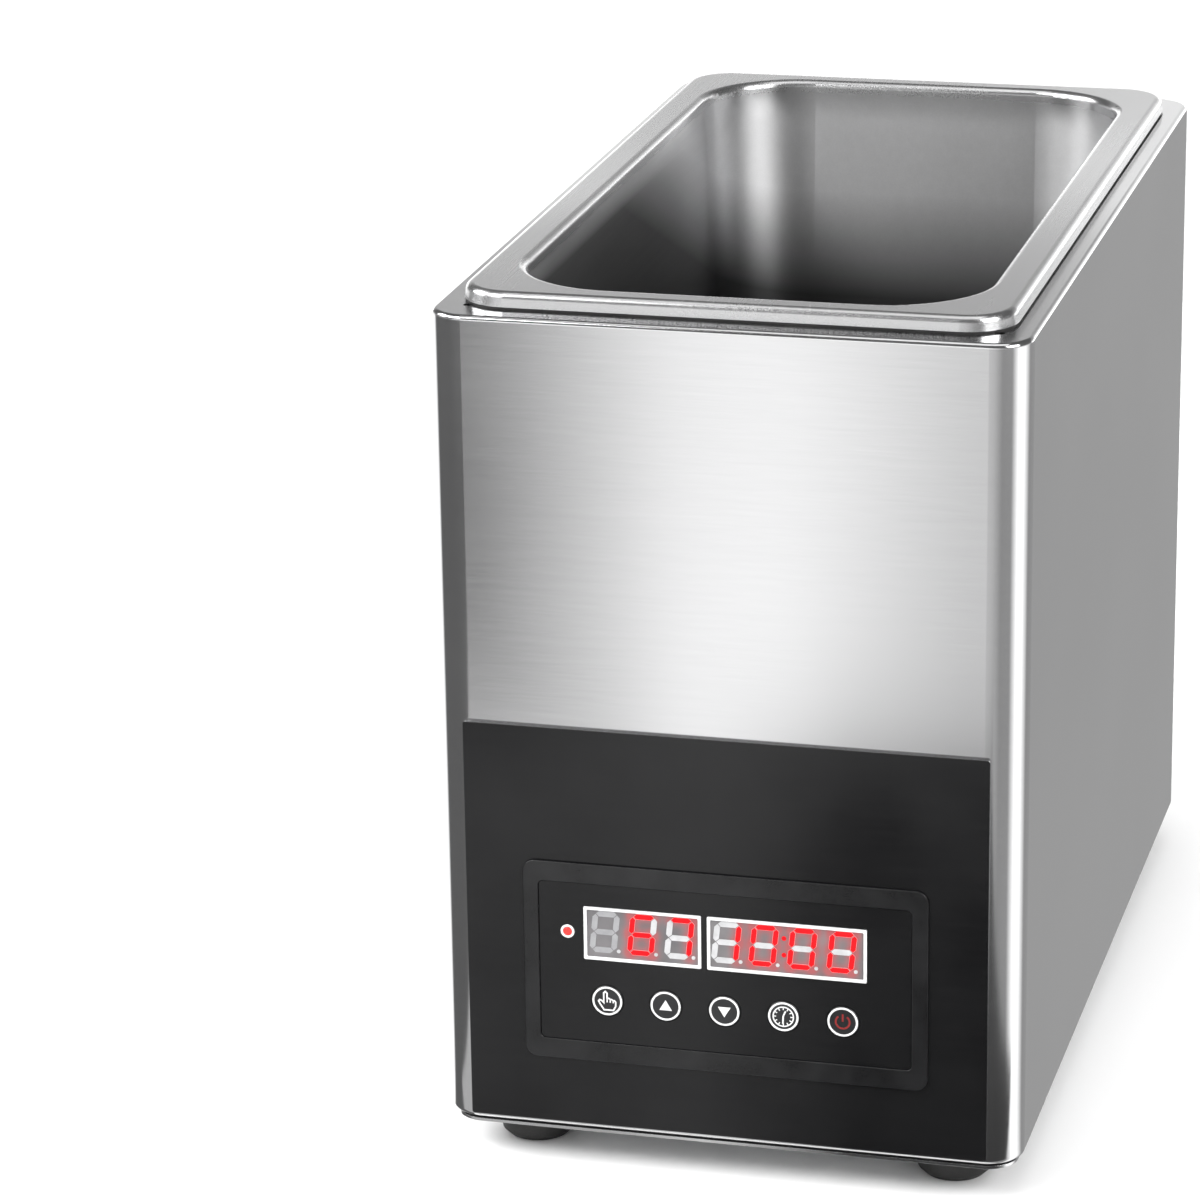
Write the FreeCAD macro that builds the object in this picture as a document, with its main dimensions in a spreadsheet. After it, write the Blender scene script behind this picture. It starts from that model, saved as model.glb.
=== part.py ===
import FreeCAD, Part

import math
import os

import Sketcher
from FreeCAD import Placement, Rotation, Vector

# Single-tank commercial egg boiler: a one-third gastronorm pan hangs in a tall
# stainless case, with an immersion element under a lift-out guard plate, a
# control module on the front and a drain valve behind.
# Axes: X to the right, Y to the back, Z up. The origin is on the standing
# plane, under the middle of the whole object. Lengths in millimetres.

SIZES = {
    # case
    "ledge_side": 7.0,
    "ledge_end": 9.0,
    "works_height": 76.5,
    "shell_corner": 12.0,
    "shell_sheet": 1.0,
    "shell_bend": 1.6,
    "bottom_return": 14.0,
    "rear_return": 12.0,
    "relief_radius": 1.5,
    "relief_reach": 1.0,
    "rear_sheet": 1.0,
    "rear_overlap": 7.0,
    "rear_corner": 4.0,
    "rear_screw_inset": 3.5,
    "vent_slot_width": 4.0,
    "vent_slot_height": 34.0,
    "vent_slot_flat": 0.04,
    "vent_pitch": 11.0,
    "vent_count": 9.0,
    "vent_drop": 62.0,
    # base and feet
    "foot_height": 11.5,
    "foot_radius": 13.5,
    "foot_taper": 1.5,
    "foot_bevel": 2.0,
    "foot_inset": 25.0,
    "foot_recess_radius": 6.0,
    "foot_recess_depth": 5.5,
    "base_sheet": 1.0,
    "base_inset": 2.0,
    "base_gap": 1.2,
    "gasket_inset": 4.5,
    "gasket_width": 8.0,
    "gasket_inner_corner": 3.75,
    "base_screw_inset": 8.0,
    "base_screw_pitch": 120.0,
    # tank pan
    "flange_width": 176.0,
    "flange_length": 325.0,
    "flange_corner": 16.0,
    "flange_roll": 2.5,
    "flange_gasket": 0.8,
    "flange_gasket_width": 3.2,
    "skirt_height": 4.7,
    "skirt_draft": 10.0,
    "pan_sheet": 1.0,
    "rim_side": 13.0,
    "rim_end": 10.5,
    "bowl_corner": 34.0,
    "bowl_depth": 200.0,
    "bowl_taper": 3.0,
    "rim_radius": 2.5,
    "floor_radius": 16.0,
    "ledge_clearance": 2.0,
    "tank_stud_gap": 5.5,
    "tank_stud_pitch": 110.0,
    "jacket_thickness": 8.0,
    "jacket_gap": 0.5,
    "jacket_lift": 28.5,
    "jacket_drop": 16.0,
    # guard plate
    "guard_sheet": 1.5,
    "guard_lift": 34.0,
    "guard_clearance": 1.8,
    "guard_hole_radius": 3.5,
    "guard_pitch": 15.0,
    "guard_columns": 7.0,
    "guard_rows": 17.0,
    "finger_radius": 10.0,
    "finger_pitch": 60.0,
    "guard_leg_gap": 1.0,
    "guard_leg_side": 6.0,
    "guard_leg_end": 7.5,
    # heating element and its fittings
    "element_radius": 4.0,
    "element_lift": 14.0,
    "element_inner": 14.0,
    "element_side_gap": 29.0,
    "element_rear_gap": 57.0,
    "element_front_gap": 47.0,
    "element_bridge_gap": 34.0,
    "element_bend": 9.0,
    "element_loop_gap": 0.02,
    "element_drop": 20.0,
    "bush_radius": 6.0,
    "bush_collar_radius": 9.0,
    "bush_collar": 2.5,
    "bush_length": 14.0,
    "seal_thickness": 1.2,
    "bush_nut_radius": 9.8,
    "bush_nut_height": 5.0,
    "terminal_radius": 1.6,
    "terminal_length": 9.0,
    # temperature probe
    "probe_radius": 3.0,
    "probe_height": 26.0,
    "probe_gap": 92.0,
    "probe_thread_radius": 5.0,
    "probe_collar_radius": 8.0,
    "probe_nut_radius": 8.6,
    # drain
    "drain_side_gap": 44.0,
    "drain_rear_gap": 94.0,
    "drain_bore": 8.0,
    "drain_tube": 9.5,
    "drain_thread": 10.5,
    "drain_collar": 14.0,
    "drain_lip_edge": 1.0,
    "drain_lip_cone": 2.0,
    "drain_spud_length": 20.0,
    "drain_nut_radius": 16.0,
    "drain_nut_height": 6.0,
    "drain_straight": 6.2,
    "drain_bend": 18.0,
    "valve_stand": 30.0,
    "valve_radius": 15.5,
    "valve_inlet": 24.0,
    "valve_chamber": 13.0,
    "valve_socket": 8.0,
    "valve_bevel": 2.0,
    "ball_radius": 11.5,
    "ball_clearance": 0.05,
    "ball_gap": 1.0,
    "seat_share": 0.53,
    "seat_overlap": 1.0,
    "end_flange": 8.0,
    "end_flange_radius": 17.0,
    "end_bevel": 1.0,
    "spigot_length": 24.0,
    "stem_radius": 4.0,
    "stem_clearance": 0.05,
    "stem_socket": 2.0,
    "stem_shoulder": 1.0,
    "stem_end": 1.0,
    "boss_radius": 8.0,
    "boss_height": 24.0,
    "boss_root": 1.0,
    "packing_height": 5.0,
    "packing_radius": 7.5,
    "lever_gap": 0.6,
    "lever_sheet": 2.5,
    "lever_width": 13.0,
    "lever_length": 54.0,
    "lever_corner": 3.9,
    "lever_grip": 32.0,
    "grip_wall": 1.2,
    "grip_corner": 1.44,
    "lever_nut": 5.8,
    # control module on the front
    "panel_side": 10.0,
    "panel_height": 135.7,
    "panel_lift": 2.2,
    "panel_sheet": 1.5,
    "panel_corner": 0.8,
    "cutout_side": 4.0,
    "cutout_end": 6.5,
    "cutout_corner": 1.5,
    "bezel_side": 19.0,
    "bezel_height": 68.0,
    "bezel_corner": 4.0,
    "bezel_centre": 58.9,
    "bezel_thickness": 1.0,
    "bezel_rim_side": 5.1,
    "bezel_rim_end": 6.7,
    "overlay_corner": 1.5,
    "overlay_thickness": 0.5,
    "overlay_gap": 0.15,
    "display_rise": 10.35,
    "display_height": 18.1,
    "display_left": 11.9,
    "display_right": 11.7,
    "display_split": 6.5,
    "display_gap": 2.0,
    "display_wall": 1.0,
    "window_corner": 0.4,
    "display_proud": 0.3,
    "display_recess": 0.5,
    "lamp_proud": 0.5,
    "lamp_gap": 5.4,
    "lamp_radius": 1.6,
    "lamp_crown": 1.0,
    "key_drop": 12.6,
    "key_pitch": 19.3,
    "key_radius": 5.2,
    "key_gap": 0.3,
    "key_proud": 0.35,
    "key_flange": 1.2,
    "key_flange_sheet": 0.8,
    "key_flange_gap": 0.05,
    "key_bevel": 0.3,
    "key_stem_radius": 1.7,
    "key_travel": 0.4,
    "switch_size": 6.0,
    "switch_height": 3.5,
    "board_side": 8.0,
    "board_end": 9.5,
    "board_sheet": 1.6,
    "spacer_length": 8.0,
    "spacer_radius": 2.6,
    "spacer_inset": 4.0,
    "buzzer_radius": 6.0,
    "buzzer_height": 8.0,
    "buzzer_hole": 1.2,
    "buzzer_offset": 29.0,
    "cover_wing": 12.0,
    "cover_side": 1.0,
    "cover_end": 3.0,
    "cover_depth": 21.0,
    "cover_sheet": 1.0,
    "stud_inset": 9.0,
    "stud_rise": 14.0,
    "cover_stud_side": 5.5,
    # mains, power board and limiter
    "gland_gap": 1.0,
    "gland_lift": 7.3,
    "gland_thread": 8.0,
    "gland_bore": 5.6,
    "gland_flange": 3.0,
    "gland_flange_radius": 12.0,
    "gland_collar": 9.0,
    "gland_shoulder": 1.0,
    "gland_nut_height": 4.0,
    "gland_inner_length": 9.0,
    "gland_cap_length": 15.0,
    "gland_cap_radius": 11.0,
    "gland_cap_taper": 1.1,
    "gland_cap_round": 3.74,
    "gland_seal_length": 10.0,
    "gland_mouth_gap": 0.6,
    "cord_radius": 4.0,
    "limiter_x": 14.0,
    "limiter_lift": 4.3,
    "limiter_size": 30.0,
    "limiter_depth": 16.0,
    "limiter_neck": 5.0,
    "limiter_neck_length": 7.0,
    "limiter_nut_radius": 8.5,
    "limiter_nut_height": 3.0,
    "reset_radius": 3.2,
    "reset_clearance": 0.1,
    "reset_proud": 3.0,
    "reset_travel": 2.0,
    "reset_depth": 3.0,
    "reset_bevel": 0.5,
    "bulb_radius": 3.0,
    "bulb_length": 50.0,
    "bulb_gap": 7.2,
    "bulb_rear_gap": 45.0,
    "bulb_clip_sheet": 0.5,
    "bulb_clip_wall": 1.5,
    "bulb_clip_width": 6.0,
    "capillary_radius": 0.9,
    "capillary_bend": 5.0,
    "capillary_sweep": 15.0,
    "capillary_drop": 12.5,
    "capillary_run": 50.0,
    "power_board_width": 70.0,
    "power_board_length": 112.0,
    "power_board_front": 53.5,
    "relay_width": 20.0,
    "relay_length": 28.0,
    "relay_height": 18.0,
    "relay_side": 15.5,
    "relay_rear": 33.6,
    "transformer_width": 38.0,
    "transformer_height": 30.0,
    "transformer_side": 21.0,
    "transformer_front": 22.0,
    "core_length": 17.0,
    "coil_width": 22.8,
    "coil_length": 34.0,
    "coil_height": 21.0,
    "coil_lift": 4.5,
    "coil_corner": 2.4,
    "connector_width": 16.0,
    "connector_depth": 8.0,
    "connector_height": 9.0,
    "connector_drop": 12.2,
    "mains_plug_side": 27.0,
    "mains_plug_rear": 7.8,
    "signal_plug_side": 11.7,
    "signal_plug_front": 13.4,
    "terminal_block_side": 28.0,
    "terminal_block_rear": 55.5,
    "terminal_block_length": 48.0,
    "terminal_block_width": 22.0,
    "terminal_block_height": 17.0,
    "block_step_width": 6.2,
    "block_step_end": 2.0,
    "block_step_x": 6.6,
    "block_step_depth": 6.8,
    "block_screw_pitch": 14.4,
    "block_screw_depth": 5.1,
    "wire_radius": 1.5,
    "cable_radius": 2.4,
    "cable_clearance": 0.3,
    "wire_bend": 14.0,
    "wire_run": 30.0,
    "wire_rise": 9.0,
    "wire_gap": 4.0,
    "wire_drop": 7.4,
    "wire_straight": 12.5,
    # fasteners
    "small_thread": 1.5,
    "small_head": 2.8,
    "small_head_height": 1.8,
    "small_nut": 3.18,
    "small_nut_height": 2.4,
    "small_screw_length": 6.0,
    "stud_end": 1.5,
    "block_corner": 0.8,
    "case_thread": 2.0,
    "case_head": 3.8,
    "case_head_height": 2.4,
    "case_nut": 4.04,
    "case_nut_height": 3.2,
    "case_screw_length": 8.0,
    "foot_thread": 2.5,
    "foot_head": 4.6,
    "foot_head_height": 3.0,
    "foot_screw_end": 5.0,
    "hole_clearance": 0.2,
    "recess_arm": 0.55,
    "cut_over": 1.0,
}

# shares of a screw's own size
TIP_RADIUS, TIP_BEVEL = 0.7, 0.5
HEAD_EDGE, HEAD_CROWN = 0.45, 0.72
CROSS_LONG, CROSS_WIDE = 0.95, 0.24

doc = FreeCAD.newDocument("egg_boiler")
sheet = doc.addObject("Spreadsheet::Sheet", "sizes")
for row, (name, size) in enumerate(SIZES.items(), 1):
    sheet.set(f"A{row}", name)
    sheet.set(f"B{row}", str(size))
    sheet.setAlias(f"B{row}", name)
doc.recompute()


class Size:
    """A length that carries its number and its formula in the sheet."""

    def __init__(self, number, text=None):
        self.number = float(number)
        self.text = text or repr(float(number))

    def __add__(self, other):
        other = as_size(other)
        return Size(self.number + other.number, f"({self.text} + {other.text})")

    def __sub__(self, other):
        other = as_size(other)
        return Size(self.number - other.number, f"({self.text} - {other.text})")

    def __rsub__(self, other):
        return as_size(other) - self

    def __mul__(self, other):
        other = as_size(other)
        return Size(self.number * other.number, f"({self.text} * {other.text})")

    def __truediv__(self, other):
        other = as_size(other)
        return Size(self.number / other.number, f"({self.text} / {other.text})")

    def __neg__(self):
        return Size(-self.number, f"(-{self.text})")

    __radd__ = __add__
    __rmul__ = __mul__


def as_size(thing):
    return thing if isinstance(thing, Size) else Size(thing)


def tangent(angle):
    return Size(math.tan(math.radians(angle.number)), f"tan({angle.text})")


class Cells:
    """Reads the sheet by name, as Size values."""

    def __getattr__(self, name):
        return Size(sheet.get(name), f"sizes.{name}")


S = Cells()
ZERO = Size(0)
nodes = []


# ---------------------------------------------------------------- helpers

def bind(item, prop, size):
    item.setExpression(prop, as_size(size).text)


def node(kind, name):
    """Makes an object that is written as a sub-part of its own."""
    item = doc.addObject(kind, name)
    item.Label = name
    nodes.append(item)
    return item


def settle(item, x=ZERO, y=ZERO, z=ZERO, turn=None):
    """Places a sub-part, with y counted from the middle of the case."""
    item.Placement = Placement(Vector(), turn or Rotation())
    bind(item, "Placement.Base.x", x)
    bind(item, "Placement.Base.y", y + CASE_Y)
    bind(item, "Placement.Base.z", z)
    return item


def datum(owner, role):
    return next(feature for feature in owner.Origin.OriginFeatures if feature.Role == role)


def sketch(owner, plane, level=ZERO):
    item = owner.newObject("Sketcher::SketchObject", owner.Name + "_sketch")
    item.AttachmentSupport = [(datum(owner, plane), "")]
    item.MapMode = "FlatFace"
    bind(item, "AttachmentOffset.Base.z", level)
    return item


def hold(item, kind, *where, size):
    size = as_size(size)
    index = item.addConstraint(Sketcher.Constraint(kind, *where, size.number))
    bind(item, f"Constraints[{index}]", size)


def pin(item, curve, point, x, y):
    """Ties a sketch point to its distances from the two axes."""
    for kind, axis, size in (("DistanceX", -2, x), ("DistanceY", -1, y)):
        if as_size(size).text == ZERO.text:
            item.addConstraint(Sketcher.Constraint("PointOnObject", curve, point, axis))
        else:
            hold(item, kind, -1, 1, curve, point, size=size)


def outline(item, corners):
    """Draws a closed polygon through corners given as sizes."""
    corners = [(as_size(x), as_size(y)) for x, y in corners]
    first = item.GeometryCount
    count = len(corners)
    for index, (x, y) in enumerate(corners):
        next_x, next_y = corners[(index + 1) % count]
        line = Part.LineSegment(Vector(x.number, y.number, 0), Vector(next_x.number, next_y.number, 0))
        item.addGeometry(line, False)
    for index, (x, y) in enumerate(corners):
        following = first + (index + 1) % count
        item.addConstraint(Sketcher.Constraint("Coincident", first + index, 2, following, 1))
        pin(item, first + index, 1, x, y)


def rounded(item, width, height, corner, x=ZERO, y=ZERO):
    """Draws a rectangle with rounded corners about (x, y)."""
    width, height, corner, x, y = (as_size(size) for size in (width, height, corner, x, y))
    first = item.GeometryCount
    right, top = x + width / 2, y + height / 2
    left, bottom = x - width / 2, y - height / 2
    radius = corner.number
    runs = [
        ((left.number + radius, bottom.number), (right.number - radius, bottom.number)),
        ((right.number, bottom.number + radius), (right.number, top.number - radius)),
        ((right.number - radius, top.number), (left.number + radius, top.number)),
        ((left.number, top.number - radius), (left.number, bottom.number + radius)),
    ]
    centres = [
        (right.number - radius, bottom.number + radius),
        (right.number - radius, top.number - radius),
        (left.number + radius, top.number - radius),
        (left.number + radius, bottom.number + radius),
    ]
    for start, end in runs:
        item.addGeometry(Part.LineSegment(Vector(*start, 0), Vector(*end, 0)), False)
    for side, centre in enumerate(centres):
        circle = Part.Circle(Vector(*centre, 0), Vector(0, 0, 1), radius)
        start = (side - 1) * math.pi / 2
        item.addGeometry(Part.ArcOfCircle(circle, start, start + math.pi / 2), False)
    for side in range(4):
        arc = first + 4 + side
        item.addConstraint(Sketcher.Constraint("Tangent", first + side, 2, arc, 1))
        item.addConstraint(Sketcher.Constraint("Tangent", arc, 2, first + (side + 1) % 4, 1))
    item.addConstraint(Sketcher.Constraint("Horizontal", first))
    item.addConstraint(Sketcher.Constraint("Horizontal", first + 2))
    item.addConstraint(Sketcher.Constraint("Vertical", first + 1))
    item.addConstraint(Sketcher.Constraint("Vertical", first + 3))
    for arc in range(3):
        item.addConstraint(Sketcher.Constraint("Equal", first + 4 + arc, first + 5 + arc))
    hold(item, "Radius", first + 4, size=corner)
    hold(item, "DistanceX", -1, 1, first + 1, 1, size=right)
    hold(item, "DistanceX", -1, 1, first + 3, 1, size=left)
    hold(item, "DistanceY", -1, 1, first, 1, size=bottom)
    hold(item, "DistanceY", -1, 1, first + 2, 1, size=top)


def disc(item, radius, x=ZERO, y=ZERO):
    x, y, radius = as_size(x), as_size(y), as_size(radius)
    circle = Part.Circle(Vector(x.number, y.number, 0), Vector(0, 0, 1), radius.number)
    index = item.addGeometry(circle, False)
    hold(item, "Radius", index, size=radius)
    pin(item, index, 3, x, y)


def pad(owner, profile, length, taper=None, backwards=False):
    item = owner.newObject("PartDesign::Pad", owner.Name + "_pad")
    item.Profile = profile
    item.Reversed = backwards
    bind(item, "Length", length)
    if taper is not None:
        bind(item, "TaperAngle", taper)
    return item


def pocket(owner, profile, length, taper=None, forwards=False):
    """Cuts against the sketch's normal, or along it when forwards is set."""
    item = owner.newObject("PartDesign::Pocket", owner.Name + "_pocket")
    item.Profile = profile
    item.Reversed = forwards
    bind(item, "Length", length)
    if taper is not None:
        bind(item, "TaperAngle", taper)
    return item


def row_of(owner, name, role, pitch, count):
    """A straight row along one axis of the body, not yet told what it repeats."""
    item = owner.newObject("PartDesign::LinearPattern", name)
    item.Direction = (datum(owner, role), [""])
    bind(item, "Length", pitch * (count - 1))
    bind(item, "Occurrences", count)
    return item


def soften(owner, base, radius, picks):
    """Rounds the edges of a feature that a test picks."""
    doc.recompute()
    edges = [f"Edge{index}" for index, edge in enumerate(base.Shape.Edges, 1) if picks(edge.BoundBox)]
    item = owner.newObject("PartDesign::Fillet", owner.Name + "_fillet")
    item.Base = (base, edges)
    bind(item, "Radius", radius)
    return item


def flat_at(level):
    """Picks the edges that lie wholly at one height."""
    return lambda box: abs(box.ZMin - level.number) < 0.01 and abs(box.ZMax - level.number) < 0.01


def inside_of(level, half_width, half_length):
    """Picks the edges at one height that lie within a rectangle."""
    def picks(box):
        across, along = max(-box.XMin, box.XMax), max(-box.YMin, box.YMax)
        return flat_at(level)(box) and across < half_width.number and along < half_length.number
    return picks


def turned(item, profile):
    """Revolves a (radius, height) profile about the body's Z axis."""
    shape = sketch(item, "XZ_Plane")
    outline(shape, profile)
    revolution = item.newObject("PartDesign::Revolution", item.Name + "_turned")
    revolution.Profile = shape
    revolution.ReferenceAxis = (shape, ["V_Axis"])
    revolution.Angle = 360
    return item


def master(name):
    """A body that is only copied, never written itself."""
    return doc.addObject("PartDesign::Body", name + "_one")


def group(name, *sets):
    """Writes one sub-part with a separate solid at each place of each set.

    A set is (single, places) or (single, places, turn).
    """
    links = []
    for single, places, *turn in sets:
        for x, y, z in places:
            link = doc.addObject("App::Link", f"{name}_{len(links) + 1}")
            link.LinkedObject = single
            link.LinkTransform = False
            link.Placement = Placement(Vector(), turn[0] if turn else Rotation())
            bind(link, "Placement.Base.x", x)
            bind(link, "Placement.Base.y", y)
            bind(link, "Placement.Base.z", z)
            links.append(link)
    item = node("Part::Compound", name)
    item.Links = links
    return settle(item)


def screw(name, thread, head, head_height, length):
    """A pan-head screw with a cross recess; its head stands on z = 0."""
    item = turned(master(name), [
        (ZERO, -length),
        (thread * TIP_RADIUS, -length),
        (thread, -length + thread * TIP_BEVEL),
        (thread, ZERO),
        (head, ZERO),
        (head, head_height * HEAD_EDGE),
        (head * HEAD_CROWN, head_height),
        (ZERO, head_height),
    ])
    long, narrow = head * CROSS_LONG, head * CROSS_WIDE
    for wide, tall in ((long, narrow), (narrow, long)):
        cross = sketch(item, "XY_Plane", head_height)
        outline(cross, [
            (-wide / 2, -tall / 2),
            (wide / 2, -tall / 2),
            (wide / 2, tall / 2),
            (-wide / 2, tall / 2),
        ])
        pocket(item, cross, head_height * S.recess_arm)
    return item


def hexagon(name, circumradius, height, bore, whole=False):
    """A hexagonal nut standing on z = 0, written itself when whole is set."""
    prism = doc.addObject("Part::Prism", name + "_prism")
    prism.Polygon = 6
    bind(prism, "Circumradius", circumradius)
    bind(prism, "Height", height)
    cylinder = doc.addObject("Part::Cylinder", name + "_bore")
    bind(cylinder, "Radius", bore)
    bind(cylinder, "Height", height)
    item = node("Part::Cut", name) if whole else doc.addObject("Part::Cut", name + "_one")
    item.Base = prism
    item.Tool = cylinder
    return item


def block(item, width, length, height):
    """Fills a body with a box about its Z axis, standing on z = 0."""
    plan = sketch(item, "XY_Plane")
    rounded(plan, width, length, S.block_corner)
    pad(item, plan, height)
    return item


def route(points, radii):
    """A wire of straight runs joined by tangent arcs."""
    edges = []
    start = points[0]
    for index, radius in enumerate(radii, 1):
        corner = points[index]
        back = (points[index - 1] - corner).normalize()
        ahead = (points[index + 1] - corner).normalize()
        half_turn = (math.pi - back.getAngle(ahead)) / 2
        reach = radius * math.tan(half_turn)
        bisector = (back + ahead).normalize()
        middle = corner + bisector * (radius / math.cos(half_turn) - radius)
        entry, leave = corner + back * reach, corner + ahead * reach
        if start.distanceToPoint(entry) > 1e-6:
            edges.append(Part.LineSegment(start, entry).toShape())
        edges.append(Part.Arc(entry, middle, leave).toShape())
        start = leave
    if start.distanceToPoint(points[-1]) > 1e-6:
        edges.append(Part.LineSegment(start, points[-1]).toShape())
    return Part.Wire(edges)


def rod_along(path, radius):
    """Sweeps a round section along a wire and compares the volume."""
    first = path.Edges[0]
    at, along = first.valueAt(first.FirstParameter), first.tangentAt(first.FirstParameter)
    section = Part.Wire([Part.makeCircle(radius, at, along)])
    rod = path.makePipeShell([section], True, True)
    expected = math.pi * radius ** 2 * path.Length
    if abs(rod.Volume / expected - 1) > 0.01:
        raise RuntimeError(f"swept rod holds {rod.Volume:.0f} in place of {expected:.0f}")
    return rod


def points_of(places):
    return [Vector(*(as_size(size).number for size in place)) for place in places]


def swept(name, shape):
    item = node("Part::Feature", name)
    item.Shape = shape
    return settle(item)


# ------------------------------------------------------------ shared levels

SHELL_WIDTH = S.flange_width + S.ledge_side * 2
SHELL_DEPTH = S.flange_length + S.ledge_end * 2
SHELL_HEIGHT = S.works_height + S.bowl_depth - S.skirt_height - S.flange_gasket
BOWL_WIDTH = S.flange_width - S.rim_side * 2
BOWL_LENGTH = S.flange_length - S.rim_end * 2
HALF_WIDTH = SHELL_WIDTH / 2
HALF_DEPTH = SHELL_DEPTH / 2
BASE_TOP = S.foot_height + S.base_sheet
SHELL_BOTTOM = BASE_TOP + S.base_gap
SHELL_TOP = SHELL_BOTTOM + SHELL_HEIGHT
FLANGE_TOP = SHELL_TOP + S.flange_gasket + S.skirt_height
FLOOR = FLANGE_TOP - S.bowl_depth
FLOOR_UNDER = FLOOR - S.pan_sheet
BOWL_SLOPE = tangent(S.bowl_taper)
REAR_FACE = HALF_DEPTH + S.rear_sheet
VALVE_Y = REAR_FACE + S.valve_stand
DRAIN_Z = FLOOR_UNDER - S.drain_spud_length - S.drain_straight - S.drain_bend
REAR_REACH = VALVE_Y + S.valve_chamber + S.end_flange + S.spigot_length
FRONT_REACH = HALF_DEPTH + S.panel_sheet + S.bezel_thickness
CASE_Y = (FRONT_REACH - REAR_REACH) / 2
FORWARD = Rotation(Vector(1, 0, 0), 90)
BACKWARD = Rotation(Vector(1, 0, 0), -90)
UPSIDE_DOWN = Rotation(Vector(1, 0, 0), 180)


def corners_of(x, y, z):
    """The four places that mirror one place about both middle planes."""
    return [(side * x, end * y, z) for side in (1, -1) for end in (1, -1)]


def rows_of(x, pitch, z):
    """Three places along each long side, a pitch apart."""
    return [(side * x, y, z) for side in (1, -1) for y in (-pitch, ZERO, pitch)]


# ------------------------------------------------------------ where things go

FOOT_PLACES = corners_of(HALF_WIDTH - S.foot_inset, HALF_DEPTH - S.foot_inset, ZERO)
BASE_SCREWS = rows_of(HALF_WIDTH - S.base_screw_inset, S.base_screw_pitch, S.foot_height)
LEDGE_WIDTH = BOWL_WIDTH + (S.pan_sheet + S.ledge_clearance) * 2
LEDGE_LENGTH = BOWL_LENGTH + (S.pan_sheet + S.ledge_clearance) * 2
TANK_STUDS = rows_of(BOWL_WIDTH / 2 + S.tank_stud_gap, S.tank_stud_pitch, ZERO)
REAR_OPENING_WIDTH = SHELL_WIDTH - (S.shell_corner + S.rear_return) * 2
REAR_OPENING_HEIGHT = SHELL_HEIGHT - S.rear_return * 2
REAR_OPENING_BOTTOM = SHELL_BOTTOM + S.rear_return
REAR_MIDDLE = SHELL_BOTTOM + SHELL_HEIGHT / 2
REAR_SCREW_X = REAR_OPENING_WIDTH / 2 + S.rear_screw_inset
REAR_SCREW_Z = REAR_OPENING_HEIGHT / 2 + S.rear_screw_inset
REAR_SCREWS = [(x, REAR_MIDDLE + z) for x, z, _ in rows_of(REAR_SCREW_X, REAR_SCREW_Z, ZERO)]
VENT_ROW_START = S.vent_pitch * (S.vent_count - 1) / -2
VENT_CORNER = S.vent_slot_width / 2 - S.vent_slot_flat
PANEL_WIDTH = SHELL_WIDTH - S.panel_side * 2
PANEL_BOTTOM = SHELL_BOTTOM + S.panel_lift
BEZEL_WIDTH = PANEL_WIDTH - S.bezel_side * 2
BEZEL_Z = SHELL_BOTTOM + S.bezel_centre
OPENING_WIDTH = BEZEL_WIDTH - S.bezel_rim_side * 2
OPENING_HEIGHT = S.bezel_height - S.bezel_rim_end * 2
BOARD_WIDTH = BEZEL_WIDTH - S.board_side * 2
BOARD_HEIGHT = S.bezel_height - S.board_end * 2
DISPLAY_Z = BEZEL_Z + S.display_rise
DISPLAY_EDGES = {
    "temperature_display": (S.display_left - BOARD_WIDTH / 2, -S.display_split - S.display_gap / 2),
    "timer_display": (-S.display_split + S.display_gap / 2, BOARD_WIDTH / 2 - S.display_right),
}
DISPLAYS = {name: ((left + right) / 2, right - left) for name, (left, right) in DISPLAY_EDGES.items()}
LAMP_X = DISPLAY_EDGES["temperature_display"][0] - S.lamp_gap
KEY_Z = BEZEL_Z - S.key_drop
KEY_NAMES = ("set_key", "plus_key", "minus_key", "clock_key", "power_key")
KEY_PLACES = [(S.key_pitch * (index - 2) if index != 2 else ZERO) for index in range(5)]
CORNER_STUDS = [
    (side * (PANEL_WIDTH / 2 - S.stud_inset), PANEL_BOTTOM + rise)
    for side in (1, -1) for rise in (S.stud_rise, S.panel_height - S.stud_rise)
]
COVER_STUDS = [(side * (BEZEL_WIDTH / 2 + S.cover_stud_side), BEZEL_Z) for side in (1, -1)]
ELEMENT_Z = FLOOR + S.element_lift
ELEMENT_OUTER = BOWL_WIDTH / 2 - S.element_side_gap
ELEMENT_REAR = BOWL_LENGTH / 2 - S.element_rear_gap
ELEMENT_FRONT = BOWL_LENGTH / 2 - S.element_front_gap
ELEMENT_ENDS = [(side * S.element_inner, ELEMENT_REAR) for side in (1, -1)]
BOARD_BACK = HALF_DEPTH - S.spacer_length - S.board_sheet
BOARD_SCREWS = [
    (side * (BOARD_WIDTH / 2 - S.spacer_inset), BEZEL_Z + end * (BOARD_HEIGHT / 2 - S.spacer_inset))
    for side in (1, -1) for end in (1, -1)
]
POWER_RIGHT = HALF_WIDTH - S.bottom_return
POWER_LEFT = POWER_RIGHT - S.power_board_width
POWER_FRONT = S.power_board_front - HALF_DEPTH
POWER_REAR = POWER_FRONT + S.power_board_length
POWER_X, POWER_Y = (POWER_LEFT + POWER_RIGHT) / 2, (POWER_FRONT + POWER_REAR) / 2
POWER_Z = BASE_TOP + S.spacer_length
POWER_TOP = POWER_Z + S.board_sheet
POWER_SCREWS = [
    (
        POWER_X + side * (S.power_board_width / 2 - S.spacer_inset),
        POWER_Y + end * (S.power_board_length / 2 - S.spacer_inset),
    )
    for side in (1, -1) for end in (1, -1)
]
RELAY_X, RELAY_Y = POWER_LEFT + S.relay_side, POWER_REAR - S.relay_rear
TRANSFORMER_X, TRANSFORMER_Y = POWER_RIGHT - S.transformer_side, POWER_FRONT + S.transformer_front
MAINS_PLUG = (POWER_RIGHT - S.mains_plug_side, POWER_REAR - S.mains_plug_rear, POWER_TOP)
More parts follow.
